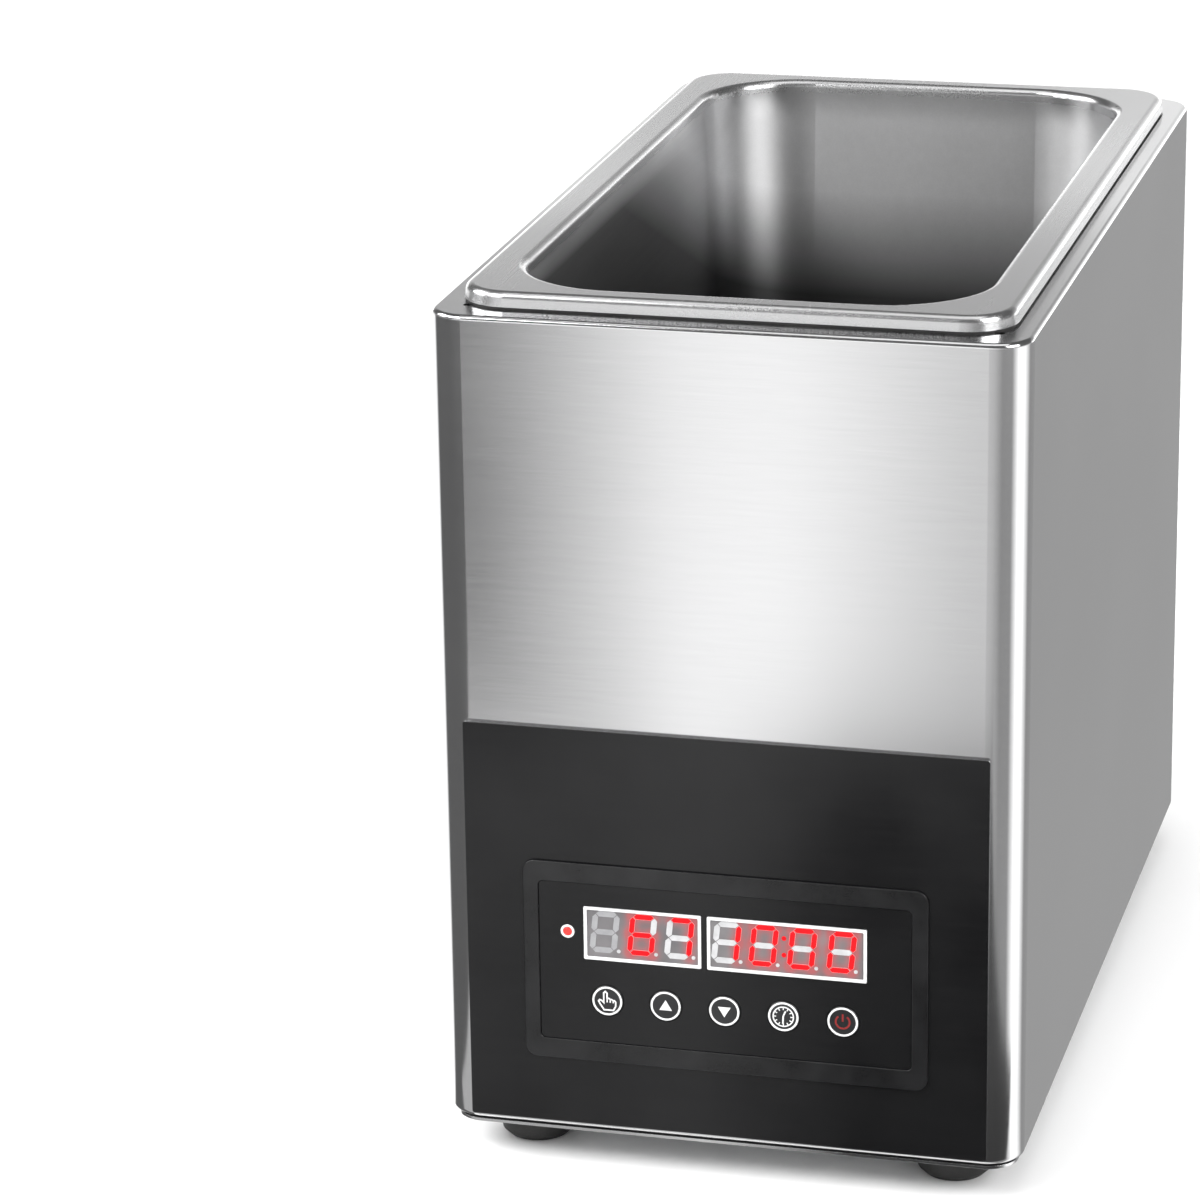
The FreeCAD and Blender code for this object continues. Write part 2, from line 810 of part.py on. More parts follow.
SIGNAL_PLUG = (POWER_LEFT + S.signal_plug_side, POWER_FRONT + S.signal_plug_front, POWER_TOP)
CABLE_PLACE = (SIGNAL_PLUG[0], -BOARD_BACK + S.connector_height / 2)
CABLE_Z = BEZEL_Z - S.connector_drop
BLOCK_X = HALF_WIDTH - S.terminal_block_side - S.terminal_block_width / 2
BLOCK_Y = HALF_DEPTH - S.terminal_block_rear - S.terminal_block_length / 2
GLAND_X = REAR_OPENING_WIDTH / 2 - S.gland_gap - S.gland_flange_radius
GLAND_Z = REAR_OPENING_BOTTOM + S.gland_lift + S.gland_flange_radius
GLAND_PLACE = (GLAND_X, REAR_FACE, GLAND_Z)
LIMITER_Z = REAR_OPENING_BOTTOM + S.limiter_lift + S.limiter_size / 2
PANEL_FACE = HALF_DEPTH + S.panel_sheet
OVERLAY_FACE = PANEL_FACE + S.overlay_thickness
DRAIN_X = S.drain_side_gap - BOWL_WIDTH / 2
DRAIN_PLACE = (DRAIN_X, BOWL_LENGTH / 2 - S.drain_rear_gap, FLOOR)
VALVE_PLACE = (DRAIN_X, VALVE_Y, DRAIN_Z)
PROBE_PLACE = (ZERO, S.probe_gap - BOWL_LENGTH / 2, FLOOR)
BULB_X = S.element_inner + S.bush_nut_radius + S.bulb_gap
BULB_Y = ELEMENT_REAR - S.bulb_rear_gap


# ---------------------------------------------------------------- the case

def housing_shell():
    """The wrapped case: front, sides, top ledge, bottom and rear returns."""
    item = node("PartDesign::Body", "housing_shell")
    plan = sketch(item, "XY_Plane", SHELL_BOTTOM)
    rounded(plan, SHELL_WIDTH, SHELL_DEPTH, S.shell_corner)
    outer = pad(item, plan, SHELL_HEIGHT)
    soften(item, outer, S.shell_bend, lambda box: flat_at(SHELL_TOP)(box) or flat_at(SHELL_BOTTOM)(box))
    hollow = sketch(item, "XY_Plane", SHELL_TOP - S.shell_sheet)
    inner_corner = S.shell_corner - S.shell_sheet
    rounded(hollow, SHELL_WIDTH - S.shell_sheet * 2, SHELL_DEPTH - S.shell_sheet * 2, inner_corner)
    pocket(item, hollow, SHELL_HEIGHT - S.shell_sheet * 2)
    mouth = sketch(item, "XY_Plane", SHELL_TOP)
    ledge_corner = S.bowl_corner + S.pan_sheet + S.ledge_clearance
    rounded(mouth, LEDGE_WIDTH, LEDGE_LENGTH, ledge_corner)
    reach = S.flange_corner * (math.sqrt(0.5) - 1) + S.relief_reach * math.sqrt(0.5)
    for x, y, _ in corners_of(S.flange_width / 2 + reach, S.flange_length / 2 + reach, ZERO):
        disc(mouth, S.relief_radius, x, y)
    for x, y, _ in TANK_STUDS:
        disc(mouth, S.case_thread + S.hole_clearance, x, y)
    pocket(item, mouth, S.shell_sheet * 2)
    underside = sketch(item, "XY_Plane", SHELL_BOTTOM + S.shell_sheet * 2)
    rounded(
        underside, SHELL_WIDTH - S.bottom_return * 2, SHELL_DEPTH - S.bottom_return * 2,
        S.shell_corner,
    )
    for x, y, _ in BASE_SCREWS:
        disc(underside, S.case_thread + S.hole_clearance, x, y)
    pocket(item, underside, S.shell_sheet * 3)
    back = sketch(item, "XZ_Plane", -(HALF_DEPTH - S.shell_sheet * 2))
    rounded(back, REAR_OPENING_WIDTH, REAR_OPENING_HEIGHT, S.rear_corner, ZERO, REAR_MIDDLE)
    for x, z in REAR_SCREWS:
        disc(back, S.case_thread + S.hole_clearance, x, z)
    pocket(item, back, S.shell_sheet * 3)
    front = sketch(item, "XZ_Plane", HALF_DEPTH + S.shell_sheet)
    rounded(
        front, BEZEL_WIDTH - S.cutout_side * 2, S.bezel_height - S.cutout_end * 2,
        S.cutout_corner, ZERO, BEZEL_Z,
    )
    for x, z in CORNER_STUDS + COVER_STUDS:
        disc(front, S.small_thread + S.hole_clearance, x, z)
    pocket(item, front, S.shell_sheet * 3)
    settle(item)


def rear_panel():
    """The flat back cover, with vent slots and holes for what passes it."""
    item = node("PartDesign::Body", "rear_panel")
    face = sketch(item, "XZ_Plane", -REAR_FACE)
    width = REAR_OPENING_WIDTH + S.rear_overlap * 2
    height = REAR_OPENING_HEIGHT + S.rear_overlap * 2
    rounded(face, width, height, S.rear_corner, ZERO, REAR_MIDDLE)
    for x, z in REAR_SCREWS:
        disc(face, S.case_thread + S.hole_clearance, x, z)
    disc(face, S.drain_tube + S.hole_clearance, DRAIN_X, DRAIN_Z)
    disc(face, S.gland_thread + S.hole_clearance, GLAND_X, GLAND_Z)
    disc(face, S.limiter_neck + S.hole_clearance, S.limiter_x, LIMITER_Z)
    pad(item, face, S.rear_sheet)
    for sign in (1, -1):
        slot = sketch(item, "XZ_Plane", -REAR_FACE + S.rear_sheet * 2)
        rounded(
            slot, S.vent_slot_width, S.vent_slot_height, VENT_CORNER,
            VENT_ROW_START, REAR_MIDDLE + sign * S.vent_drop,
        )
        vent_row(item, pocket(item, slot, S.rear_sheet * 3), "X_Axis")
    settle(item)


def vent_row(item, cut, role):
    """Repeats one vent slot along a row and ends the body there."""
    doc.recompute()
    row = row_of(item, "vent_row", role, S.vent_pitch, S.vent_count)
    row.Originals = [cut]
    item.Tip = row


def base_plate():
    """The flat plate that closes the case below and carries the feet."""
    item = node("PartDesign::Body", "base_plate")
    plan = sketch(item, "XY_Plane", S.foot_height)
    rounded(
        plan, SHELL_WIDTH - S.base_inset * 2, SHELL_DEPTH - S.base_inset * 2,
        S.shell_corner - S.base_inset,
    )
    for x, y, _ in FOOT_PLACES:
        disc(plan, S.foot_thread, x, y)
    for x, y, _ in BASE_SCREWS:
        disc(plan, S.case_thread + S.hole_clearance, x, y)
    pad(item, plan, S.base_sheet)
    slot = sketch(item, "XY_Plane", BASE_TOP)
    rounded(slot, S.vent_slot_height, S.vent_slot_width, VENT_CORNER, -POWER_X, VENT_ROW_START)
    vent_row(item, pocket(item, slot, S.base_sheet * 2), "Y_Axis")
    settle(item)


def base_gasket():
    """The dark strip between the base plate and the case."""
    item = node("PartDesign::Body", "base_gasket")
    ring = sketch(item, "XY_Plane", BASE_TOP)
    width, depth = SHELL_WIDTH - S.gasket_inset * 2, SHELL_DEPTH - S.gasket_inset * 2
    rounded(ring, width, depth, S.shell_corner - S.gasket_inset)
    rounded(ring, width - S.gasket_width * 2, depth - S.gasket_width * 2, S.gasket_inner_corner)
    for x, y, _ in BASE_SCREWS:
        disc(ring, S.case_thread + S.hole_clearance, x, y)
    pad(item, ring, S.base_gap)
    settle(item)


def feet():
    """Four rubber feet, each screwed through a recess from below."""
    hole = S.foot_thread + S.hole_clearance
    single = turned(master("feet"), [
        (hole, S.foot_recess_depth),
        (S.foot_recess_radius, S.foot_recess_depth),
        (S.foot_recess_radius, ZERO),
        (S.foot_radius - S.foot_taper - S.foot_bevel, ZERO),
        (S.foot_radius - S.foot_taper, S.foot_bevel),
        (S.foot_radius, S.foot_height - S.foot_bevel),
        (S.foot_radius, S.foot_height),
        (hole, S.foot_height),
    ])
    group("feet", (single, FOOT_PLACES))
    length = S.foot_height - S.foot_recess_depth + S.base_sheet + S.foot_screw_end
    single = screw("foot_screws", S.foot_thread, S.foot_head, S.foot_head_height, length)
    places = [(x, y, S.foot_recess_depth) for x, y, _ in FOOT_PLACES]
    group("foot_screws", (single, places, UPSIDE_DOWN))


def case_fasteners():
    """Screws of the base plate and rear panel, and every nut of their size."""
    single = screw("case_screws", S.case_thread, S.case_head, S.case_head_height, S.case_screw_length)
    behind = [(x, REAR_FACE, z) for x, z in REAR_SCREWS]
    group("case_screws", (single, BASE_SCREWS, UPSIDE_DOWN), (single, behind, BACKWARD))
    single = hexagon("case_nuts", S.case_nut, S.case_nut_height, S.case_thread)
    group(
        "case_nuts",
        (single, [(x, y, SHELL_BOTTOM + S.shell_sheet) for x, y, _ in BASE_SCREWS]),
        (single, [(x, HALF_DEPTH - S.shell_sheet, z) for x, z in REAR_SCREWS], FORWARD),
        (single, [(x, y, SHELL_TOP - S.shell_sheet - S.case_nut_height) for x, y, _ in TANK_STUDS]),
    )


# ---------------------------------------------------------------- the tank

def bowl(item, top, wall, depth, neck):
    """Adds the tapered bowl below a slab, rounded at its floor and neck."""
    plan = sketch(item, "XY_Plane", top)
    gap = wall - (FLANGE_TOP - top) * BOWL_SLOPE
    rounded(plan, BOWL_WIDTH + gap * 2, BOWL_LENGTH + gap * 2, S.bowl_corner + gap)
    form = pad(item, plan, depth, -S.bowl_taper, backwards=True)
    rounds = soften(item, form, S.floor_radius + wall, flat_at(top - depth))
    half_width, half_length = BOWL_WIDTH / 2 + S.rim_radius, BOWL_LENGTH / 2 + S.rim_radius
    soften(item, rounds, neck, inside_of(top, half_width, half_length))


def tank_pan():
    """The one-third gastronorm pan with a turned-down, slightly splayed flange."""
    outside = doc.addObject("PartDesign::Body", "pan_outside")
    skirt_bottom = FLANGE_TOP - S.skirt_height
    plan = sketch(outside, "XY_Plane", skirt_bottom)
    rounded(plan, S.flange_width, S.flange_length, S.flange_corner)
    slab = pad(outside, plan, S.skirt_height, -S.skirt_draft)
    soften(outside, slab, S.flange_roll, flat_at(FLANGE_TOP))
    below = sketch(outside, "XY_Plane", skirt_bottom)
    rounded(
        below, S.flange_width - S.pan_sheet * 2, S.flange_length - S.pan_sheet * 2,
        S.flange_corner - S.pan_sheet,
    )
    pocket(outside, below, S.skirt_height - S.pan_sheet, -S.skirt_draft, forwards=True)
    under_flange = FLANGE_TOP - S.pan_sheet
    bowl(outside, under_flange, S.pan_sheet, S.bowl_depth, S.rim_radius - S.pan_sheet)
    studs = sketch(outside, "XY_Plane", under_flange)
    for x, y, _ in TANK_STUDS:
        disc(studs, S.case_thread, x, y)
    through = S.skirt_height - S.pan_sheet + S.flange_gasket + S.shell_sheet
    pad(outside, studs, through + S.case_nut_height + S.stud_end, backwards=True)
    holes = sketch(outside, "XY_Plane", FLOOR)
    for x, y in ELEMENT_ENDS:
        disc(holes, S.bush_radius, x, y)
    disc(holes, S.probe_thread_radius, *PROBE_PLACE[:2])
    disc(holes, S.drain_thread, *DRAIN_PLACE[:2])
    pocket(outside, holes, S.pan_sheet * 2)

    inside = doc.addObject("PartDesign::Body", "pan_inside")
    above = sketch(inside, "XY_Plane", FLANGE_TOP)
    rounded(above, S.flange_width * 2, S.flange_length * 2, S.flange_corner)
    pad(inside, above, S.skirt_height)
    bowl(inside, FLANGE_TOP, ZERO, S.bowl_depth, S.rim_radius)

    item = node("Part::Cut", "tank_pan")
    item.Base = outside
    item.Tool = inside
    settle(item)


def flange_gasket():
    """The seal between the pan's skirt and the top ledge."""
    item = node("PartDesign::Body", "flange_gasket")
    ring = sketch(item, "XY_Plane", SHELL_TOP)
    margin = S.pan_sheet
    width, length = S.flange_width - margin, S.flange_length - margin
    rounded(ring, width, length, S.flange_corner - margin / 2)
    rounded(
        ring, width - S.flange_gasket_width * 2, length - S.flange_gasket_width * 2,
        S.flange_corner - margin / 2 - S.flange_gasket_width,
    )
    pad(item, ring, S.flange_gasket)
    settle(item)


def insulation_jacket():
    """The blanket wrapped round the pan's walls."""
    item = node("PartDesign::Body", "insulation_jacket")
    top = SHELL_TOP - S.jacket_drop
    shrink = (FLANGE_TOP - top) * BOWL_SLOPE
    inner_gap = S.pan_sheet + S.jacket_gap - shrink
    for gap, build in ((inner_gap + S.jacket_thickness, pad), (inner_gap, pocket)):
        ring = sketch(item, "XY_Plane", top)
        rounded(ring, BOWL_WIDTH + gap * 2, BOWL_LENGTH + gap * 2, S.bowl_corner + gap)
        feature = build(item, ring, top - FLOOR - S.jacket_lift, -S.bowl_taper)
        if build is pad:
            feature.Reversed = True
            doc.recompute()
    settle(item)


def guard_plate():
    """The perforated false bottom that lifts out over the element."""
    item = node("PartDesign::Body", "guard_plate")
    level = FLOOR + S.guard_lift
    shrink = (S.bowl_depth - S.guard_lift) * BOWL_SLOPE + S.guard_clearance
    plan = sketch(item, "XY_Plane", level)
    rounded(plan, BOWL_WIDTH - shrink * 2, BOWL_LENGTH - shrink * 2, S.bowl_corner - shrink)
    pad(item, plan, S.guard_sheet)
    leg_near = S.element_inner + S.bush_collar_radius + S.guard_leg_gap
    leg_far = ELEMENT_OUTER - S.element_radius - S.guard_leg_side
    half_sheet = S.guard_sheet / 2
    for side in (1, -1):
        for end in (1, -1):
            leg = sketch(item, "XY_Plane", level + S.guard_sheet)
            y = end * (ELEMENT_FRONT - S.guard_leg_end)
            outline(leg, [
                (side * leg_near, y - half_sheet),
                (side * leg_far, y - half_sheet),
                (side * leg_far, y + half_sheet),
                (side * leg_near, y + half_sheet),
            ])
            pad(item, leg, S.guard_lift + S.guard_sheet, backwards=True)
    doc.recompute()
    hole = sketch(item, "XY_Plane", level + S.guard_sheet)
    first_x = S.guard_pitch * (S.guard_columns - 1) / -2
    first_y = S.guard_pitch * (S.guard_rows - 1) / -2
    disc(hole, S.guard_hole_radius, first_x, first_y)
    cut = pocket(item, hole, S.guard_sheet)
    doc.recompute()
    grid = item.newObject("PartDesign::MultiTransform", "perforations")
    grid.Transformations = [
        row_of(item, "perforation_row", role, S.guard_pitch, count)
        for role, count in (("X_Axis", S.guard_columns), ("Y_Axis", S.guard_rows))
    ]
    grid.Originals = [cut]
    item.Tip = grid
    doc.recompute()
    grips = sketch(item, "XY_Plane", level + S.guard_sheet)
    for end in (1, -1):
        disc(grips, S.finger_radius, ZERO, S.finger_pitch * end)
    pocket(item, grips, S.guard_sheet)
    settle(item)


# ----------------------------------------------------- element, probe, drain

def heating_element():
    """One tube bent into four legs, its ends turned down through the floor."""
    low = FLOOR_UNDER - S.element_drop
    inner, outer = S.element_inner, ELEMENT_OUTER
    rear, bridge = ELEMENT_REAR, BOWL_LENGTH / 2 - S.element_bridge_gap
    turn = (outer - inner) / 2
    tip = -ELEMENT_FRONT - turn
    half = [
        (inner, rear, low),
        (inner, rear, ELEMENT_Z),
        (inner, tip, ELEMENT_Z),
        (outer, tip, ELEMENT_Z),
        (outer, bridge, ELEMENT_Z),
    ]
    other = [(-x, y, z) for x, y, z in reversed(half)]
    bend = S.element_bend.number
    loop = (turn - S.element_loop_gap).number
    radii = [bend, loop, loop, bend, bend, loop, loop, bend]
    path = route(points_of(half + other), radii)
    rod = rod_along(path, S.element_radius.number)
    tip_radius, over = S.terminal_radius.number, S.cut_over.number
    reach = S.terminal_length.number + over
    for foot in points_of([half[0], other[-1]]):
        terminal = Part.makeCylinder(tip_radius, reach, foot + Vector(0, 0, over), Vector(0, 0, -1))
        rod = rod.fuse(terminal)
    swept("heating_element", rod)
    single = turned(master("element_bushes"), [
        (S.element_radius, -S.bush_length),
        (S.bush_radius, -S.bush_length),
        (S.bush_radius, S.seal_thickness),
        (S.bush_collar_radius, S.seal_thickness),
        (S.bush_collar_radius, S.seal_thickness + S.bush_collar),
        (S.element_radius, S.seal_thickness + S.bush_collar),
    ])
    group("element_bushes", (single, [(x, y, FLOOR) for x, y in ELEMENT_ENDS]))


def temperature_probe():
    """The sensor tube that stands through the floor."""
    item = node("PartDesign::Body", "temperature_probe")
    turned(item, [
        (ZERO, -S.bush_length - S.terminal_length),
        (S.probe_radius, -S.bush_length - S.terminal_length),
        (S.probe_radius, -S.bush_length),
        (S.probe_thread_radius, -S.bush_length),
        (S.probe_thread_radius, S.seal_thickness),
        (S.probe_collar_radius, S.seal_thickness),
        (S.probe_collar_radius, S.seal_thickness + S.bush_collar),
        (S.probe_radius, S.seal_thickness + S.bush_collar),
        (S.probe_radius, S.probe_height - S.probe_radius / 2),
        (S.probe_radius / 2, S.probe_height),
        (ZERO, S.probe_height),
    ])
    settle(item, *PROBE_PLACE)


def floor_fittings():
    """Seals and nuts of everything that passes through the pan's floor."""
    passing = [
        ("element", [(x, y) for x, y in ELEMENT_ENDS], S.bush_radius, S.bush_collar_radius,
         S.bush_nut_radius, S.bush_nut_height),
        ("probe", [PROBE_PLACE[:2]], S.probe_thread_radius, S.probe_collar_radius,
         S.probe_nut_radius, S.bush_nut_height),
        ("drain", [DRAIN_PLACE[:2]], S.drain_thread, S.drain_collar,
         S.drain_nut_radius, S.drain_nut_height),
    ]
    seals, nuts = [], []
    for name, places, thread, collar, nut_radius, nut_height in passing:
        single = turned(master(name + "_seal"), [
            (thread, ZERO),
            (collar, ZERO),
            (collar, S.seal_thickness),
            (thread, S.seal_thickness),
        ])
        seals.append((single, [(x, y, FLOOR) for x, y in places]))
        single = hexagon(name + "_nut", nut_radius, nut_height, thread)
        nuts.append((single, [(x, y, FLOOR_UNDER - nut_height) for x, y in places]))
    group("floor_seals", *seals)
    group("floor_nuts", *nuts)


def drain_spud():
    """The flanged drain fitting in the floor."""
    item = node("PartDesign::Body", "drain_spud")
    low = -S.pan_sheet - S.drain_spud_length
    turned(item, [
        (S.drain_bore, low),
        (S.drain_thread, low),
        (S.drain_thread, S.seal_thickness),
        (S.drain_collar, S.seal_thickness),
        (S.drain_collar, S.seal_thickness + S.drain_lip_edge),
        (S.drain_bore + S.drain_lip_cone, S.seal_thickness + S.bush_collar),
        (S.drain_bore, S.seal_thickness + S.bush_collar),
    ])
    settle(item, *DRAIN_PLACE)


def drain_pipe():
    """The bent tube from the drain fitting to the valve behind."""
    top = FLOOR_UNDER - S.drain_spud_length
    drain_x, drain_y, _ = DRAIN_PLACE
    start = (drain_x, drain_y, top)
    corner = (drain_x, drain_y, DRAIN_Z)
    end = (drain_x, VALVE_Y - S.valve_inlet + S.valve_socket, DRAIN_Z)
    path = route(points_of([start, corner, end]), [S.drain_bend.number])
    outer = rod_along(path, S.drain_tube.number)
    inner = rod_along(path, S.drain_bore.number)
    swept("drain_pipe", outer.cut(inner))


def drain_valve():
    """The ball valve: body, seats, ball, stem, packing nut, end and lever."""
    chamber = S.ball_radius + S.ball_gap
    item = node("PartDesign::Body", "valve_body")
    turned(item, [
        (S.drain_tube, -S.valve_inlet),
        (S.valve_radius - S.valve_bevel, -S.valve_inlet),
        (S.valve_radius, -S.valve_inlet + S.valve_bevel),
        (S.valve_radius, S.valve_chamber),
        (chamber, S.valve_chamber),
        (chamber, -S.valve_chamber),
        (S.drain_bore, -S.valve_chamber),
        (S.drain_bore, -S.valve_inlet + S.valve_socket),
        (S.drain_tube, -S.valve_inlet + S.valve_socket),
    ])
    boss = sketch(item, "XZ_Plane", S.boss_height)
    disc(boss, S.boss_radius)
    pad(item, boss, S.boss_height - chamber - S.boss_root, backwards=True)
    bore = sketch(item, "XZ_Plane", S.boss_height)
    disc(bore, S.stem_radius + S.stem_clearance)
    pocket(item, bore, S.boss_height - S.ball_radius / 2)
    settle(item, *VALVE_PLACE, turn=BACKWARD)

    item = node("PartDesign::Body", "valve_end")
    seat_end = S.valve_chamber - S.seat_overlap
    flange = S.valve_chamber + S.end_flange
    turned(item, [
        (S.drain_bore, seat_end),
        (chamber, seat_end),
        (chamber, S.valve_chamber),
        (S.end_flange_radius, S.valve_chamber),
        (S.end_flange_radius, flange - S.end_bevel),
        (S.end_flange_radius - S.end_bevel, flange),
        (S.drain_tube, flange),
        (S.drain_tube, flange + S.spigot_length),
        (S.drain_bore, flange + S.spigot_length),
    ])
    settle(item, *VALVE_PLACE, turn=BACKWARD)

    ball_cut = S.ball_radius + S.ball_clearance
    seat_start = ball_cut * S.seat_share
    seats = []
    for name, near, far in (("in", -S.valve_chamber, -seat_start), ("out", seat_start, seat_end)):
        ring = doc.addObject("Part::Cylinder", f"seat_{name}_ring")
        bind(ring, "Radius", chamber)
        bind(ring, "Height", far - near)
        bind(ring, "Placement.Base.z", near)
        sphere = doc.addObject("Part::Sphere", f"seat_{name}_sphere")
        bind(sphere, "Radius", ball_cut)
        bore = doc.addObject("Part::Cylinder", f"seat_{name}_bore")
        bind(bore, "Radius", S.drain_bore)
        bind(bore, "Height", (far - near) * 2)
        bind(bore, "Placement.Base.z", near - S.cut_over)
        tools = doc.addObject("Part::MultiFuse", f"seat_{name}_tools")
        tools.Shapes = [sphere, bore]
        seat = doc.addObject("Part::Cut", f"seat_{name}")
        seat.Base = ring
        seat.Tool = tools
        seats.append(seat)
    item = node("Part::Compound", "valve_seats")
    item.Links = seats
    settle(item, *VALVE_PLACE, turn=BACKWARD)

    sphere = doc.addObject("Part::Sphere", "ball_sphere")
    bind(sphere, "Radius", S.ball_radius)
    way = doc.addObject("Part::Cylinder", "ball_way")
    bind(way, "Radius", S.drain_bore)
    bind(way, "Height", S.ball_radius * 2)
    way.Placement = Placement(Vector(), Rotation(Vector(0, 1, 0), 90))
    bind(way, "Placement.Base.x", -S.ball_radius)
    slot = doc.addObject("Part::Cylinder", "ball_socket")
    bind(slot, "Radius", S.stem_radius)
    bind(slot, "Height", S.ball_radius)
    bind(slot, "Placement.Base.z", S.ball_radius - S.stem_socket)
    tools = doc.addObject("Part::MultiFuse", "ball_tools")
    tools.Shapes = [way, slot]
    item = node("Part::Cut", "valve_ball")
    item.Base = sphere
    item.Tool = tools
    settle(item, *VALVE_PLACE)

    lever_level = S.boss_height + S.packing_height + S.lever_gap
    lever_top = lever_level + S.lever_sheet
    tail = S.stem_radius - S.stem_shoulder
    item = node("PartDesign::Body", "valve_stem")
    turned(item, [
        (ZERO, S.ball_radius - S.stem_socket),
        (S.stem_radius, S.ball_radius - S.stem_socket),
        (S.stem_radius, lever_level),
        (tail, lever_level),
        (tail, lever_top + S.case_nut_height + S.stem_end),
        (ZERO, lever_top + S.case_nut_height + S.stem_end),
    ])
    settle(item, *VALVE_PLACE)
    packing = S.stem_radius + S.stem_clearance
    item = hexagon("packing_nut", S.packing_radius, S.packing_height, packing, whole=True)
    settle(item, DRAIN_X, VALVE_Y, DRAIN_Z + S.boss_height)

    item = node("PartDesign::Body", "valve_lever")
    plan = sketch(item, "XY_Plane", lever_level)
    end = -S.lever_length
    half = S.lever_width / 2
    rounded(plan, S.lever_length + half, S.lever_width, S.lever_corner, (end + half) / 2)
    disc(plan, tail)
    pad(item, plan, S.lever_sheet)
    settle(item, *VALVE_PLACE)
    item = node("PartDesign::Body", "lever_grip")
    grip = sketch(item, "YZ_Plane", end - S.grip_wall)
    middle = lever_level + S.lever_sheet / 2
    wide, tall = S.lever_width + S.grip_wall * 2, S.lever_sheet + S.grip_wall * 2
    rounded(grip, wide, tall, S.grip_corner, ZERO, middle)
    pad(item, grip, S.lever_grip)
    blade = sketch(item, "YZ_Plane", end)
    outline(blade, [
        (-half, lever_level),
        (half, lever_level),
        (half, lever_top),
        (-half, lever_top),
    ])
    pocket(item, blade, S.lever_grip, forwards=True)
    settle(item, *VALVE_PLACE)
    item = hexagon("lever_nut", S.lever_nut, S.case_nut_height, tail, whole=True)
    settle(item, DRAIN_X, VALVE_Y, DRAIN_Z + lever_top)


# ------------------------------------------------------- the control module

def windows(item, gap):
    """Draws the openings that the displays, the lamp and the keys pass."""
    for x, width in DISPLAYS.values():
        rounded(item, width + gap * 2, S.display_height + gap * 2, S.window_corner, x, DISPLAY_Z)
    disc(item, S.lamp_radius + gap, LAMP_X, DISPLAY_Z)
    for x in KEY_PLACES:
        disc(item, S.key_radius + S.key_gap, x, KEY_Z)


def front_panel():
    """The black plate on the lower front, with the studs that hold it."""
    item = node("PartDesign::Body", "front_panel")
    face = sketch(item, "XZ_Plane", HALF_DEPTH)
    middle = PANEL_BOTTOM + S.panel_height / 2
    rounded(face, PANEL_WIDTH, S.panel_height, S.panel_corner, ZERO, middle)
    windows(face, S.overlay_gap)
    pad(item, face, S.panel_sheet)
    for places, through in ((CORNER_STUDS, ZERO), (COVER_STUDS, S.cover_sheet)):
        studs = sketch(item, "XZ_Plane", HALF_DEPTH)
        for x, z in places:
            disc(studs, S.small_thread, x, z)
        length = S.shell_sheet + through + S.small_nut_height + S.stud_end
        pad(item, studs, length, backwards=True)
    settle(item)
    single = hexagon("panel_nuts", S.small_nut, S.small_nut_height, S.small_thread)
    inner = -HALF_DEPTH + S.shell_sheet + S.small_nut_height
    group(
        "panel_nuts",
        (single, [(x, inner, z) for x, z in CORNER_STUDS], FORWARD),
        (single, [(x, inner + S.cover_sheet, z) for x, z in COVER_STUDS], FORWARD),
    )


def control_bezel():
    """The raised frame round the control overlay."""
    item = node("PartDesign::Body", "control_bezel")
    frame = sketch(item, "XZ_Plane", PANEL_FACE)
    rounded(frame, BEZEL_WIDTH, S.bezel_height, S.bezel_corner, ZERO, BEZEL_Z)
    rounded(frame, OPENING_WIDTH, OPENING_HEIGHT, S.overlay_corner + S.overlay_gap, ZERO, BEZEL_Z)
    pad(item, frame, S.bezel_thickness)
    settle(item)


def control_overlay():
    """The thin sheet inside the bezel."""
    item = node("PartDesign::Body", "control_overlay")
    face = sketch(item, "XZ_Plane", PANEL_FACE)
    width, height = OPENING_WIDTH - S.overlay_gap * 2, OPENING_HEIGHT - S.overlay_gap * 2
    rounded(face, width, height, S.overlay_corner, ZERO, BEZEL_Z)
    windows(face, S.overlay_gap)
    pad(item, face, S.overlay_thickness)
    settle(item)


def displays():
    """The digit modules: white housings with a shallow recess for the face."""
    front = OVERLAY_FACE + S.display_proud
    wall = S.display_wall * 2
    for name, (x, width) in DISPLAYS.items():
        item = node("PartDesign::Body", name)
        face = sketch(item, "XZ_Plane", front)
        rounded(face, width, S.display_height, S.window_corner, x, DISPLAY_Z)
        pad(item, face, front - HALF_DEPTH + S.spacer_length, backwards=True)
        recess = sketch(item, "XZ_Plane", front)
        rounded(recess, width - wall, S.display_height - wall, S.window_corner, x, DISPLAY_Z)
        pocket(item, recess, S.display_recess)
        settle(item)


def heating_lamp():
    """The round indicator that shows when the element is on."""
    item = node("PartDesign::Body", "heating_lamp")
    top = S.panel_sheet + S.overlay_thickness + S.lamp_proud
    turned(item, [
        (ZERO, -S.spacer_length),
        (S.lamp_radius, -S.spacer_length),
        (S.lamp_radius, top - S.lamp_proud),
        (S.lamp_crown, top),
        (ZERO, top),
    ])
    settle(item, LAMP_X, -HALF_DEPTH, DISPLAY_Z, FORWARD)


def keys():
    """Five round keys, each held behind the panel by its flange."""
    front = S.panel_sheet + S.overlay_thickness + S.key_proud
    inner = -S.key_flange_gap - S.key_flange_sheet
    stem_end = -S.spacer_length + S.switch_height + S.key_travel + S.key_flange_gap
    flange = S.key_radius + S.key_flange
    for name, x in zip(KEY_NAMES, KEY_PLACES):
        item = node("PartDesign::Body", name)
        turned(item, [
            (ZERO, stem_end),
            (S.key_stem_radius, stem_end),
            (S.key_stem_radius, inner),
            (flange, inner),
            (flange, -S.key_flange_gap),
            (S.key_radius, -S.key_flange_gap),
            (S.key_radius, front - S.key_bevel),
            (S.key_radius - S.key_bevel, front),
            (ZERO, front),
        ])
        settle(item, x, -HALF_DEPTH, KEY_Z, FORWARD)


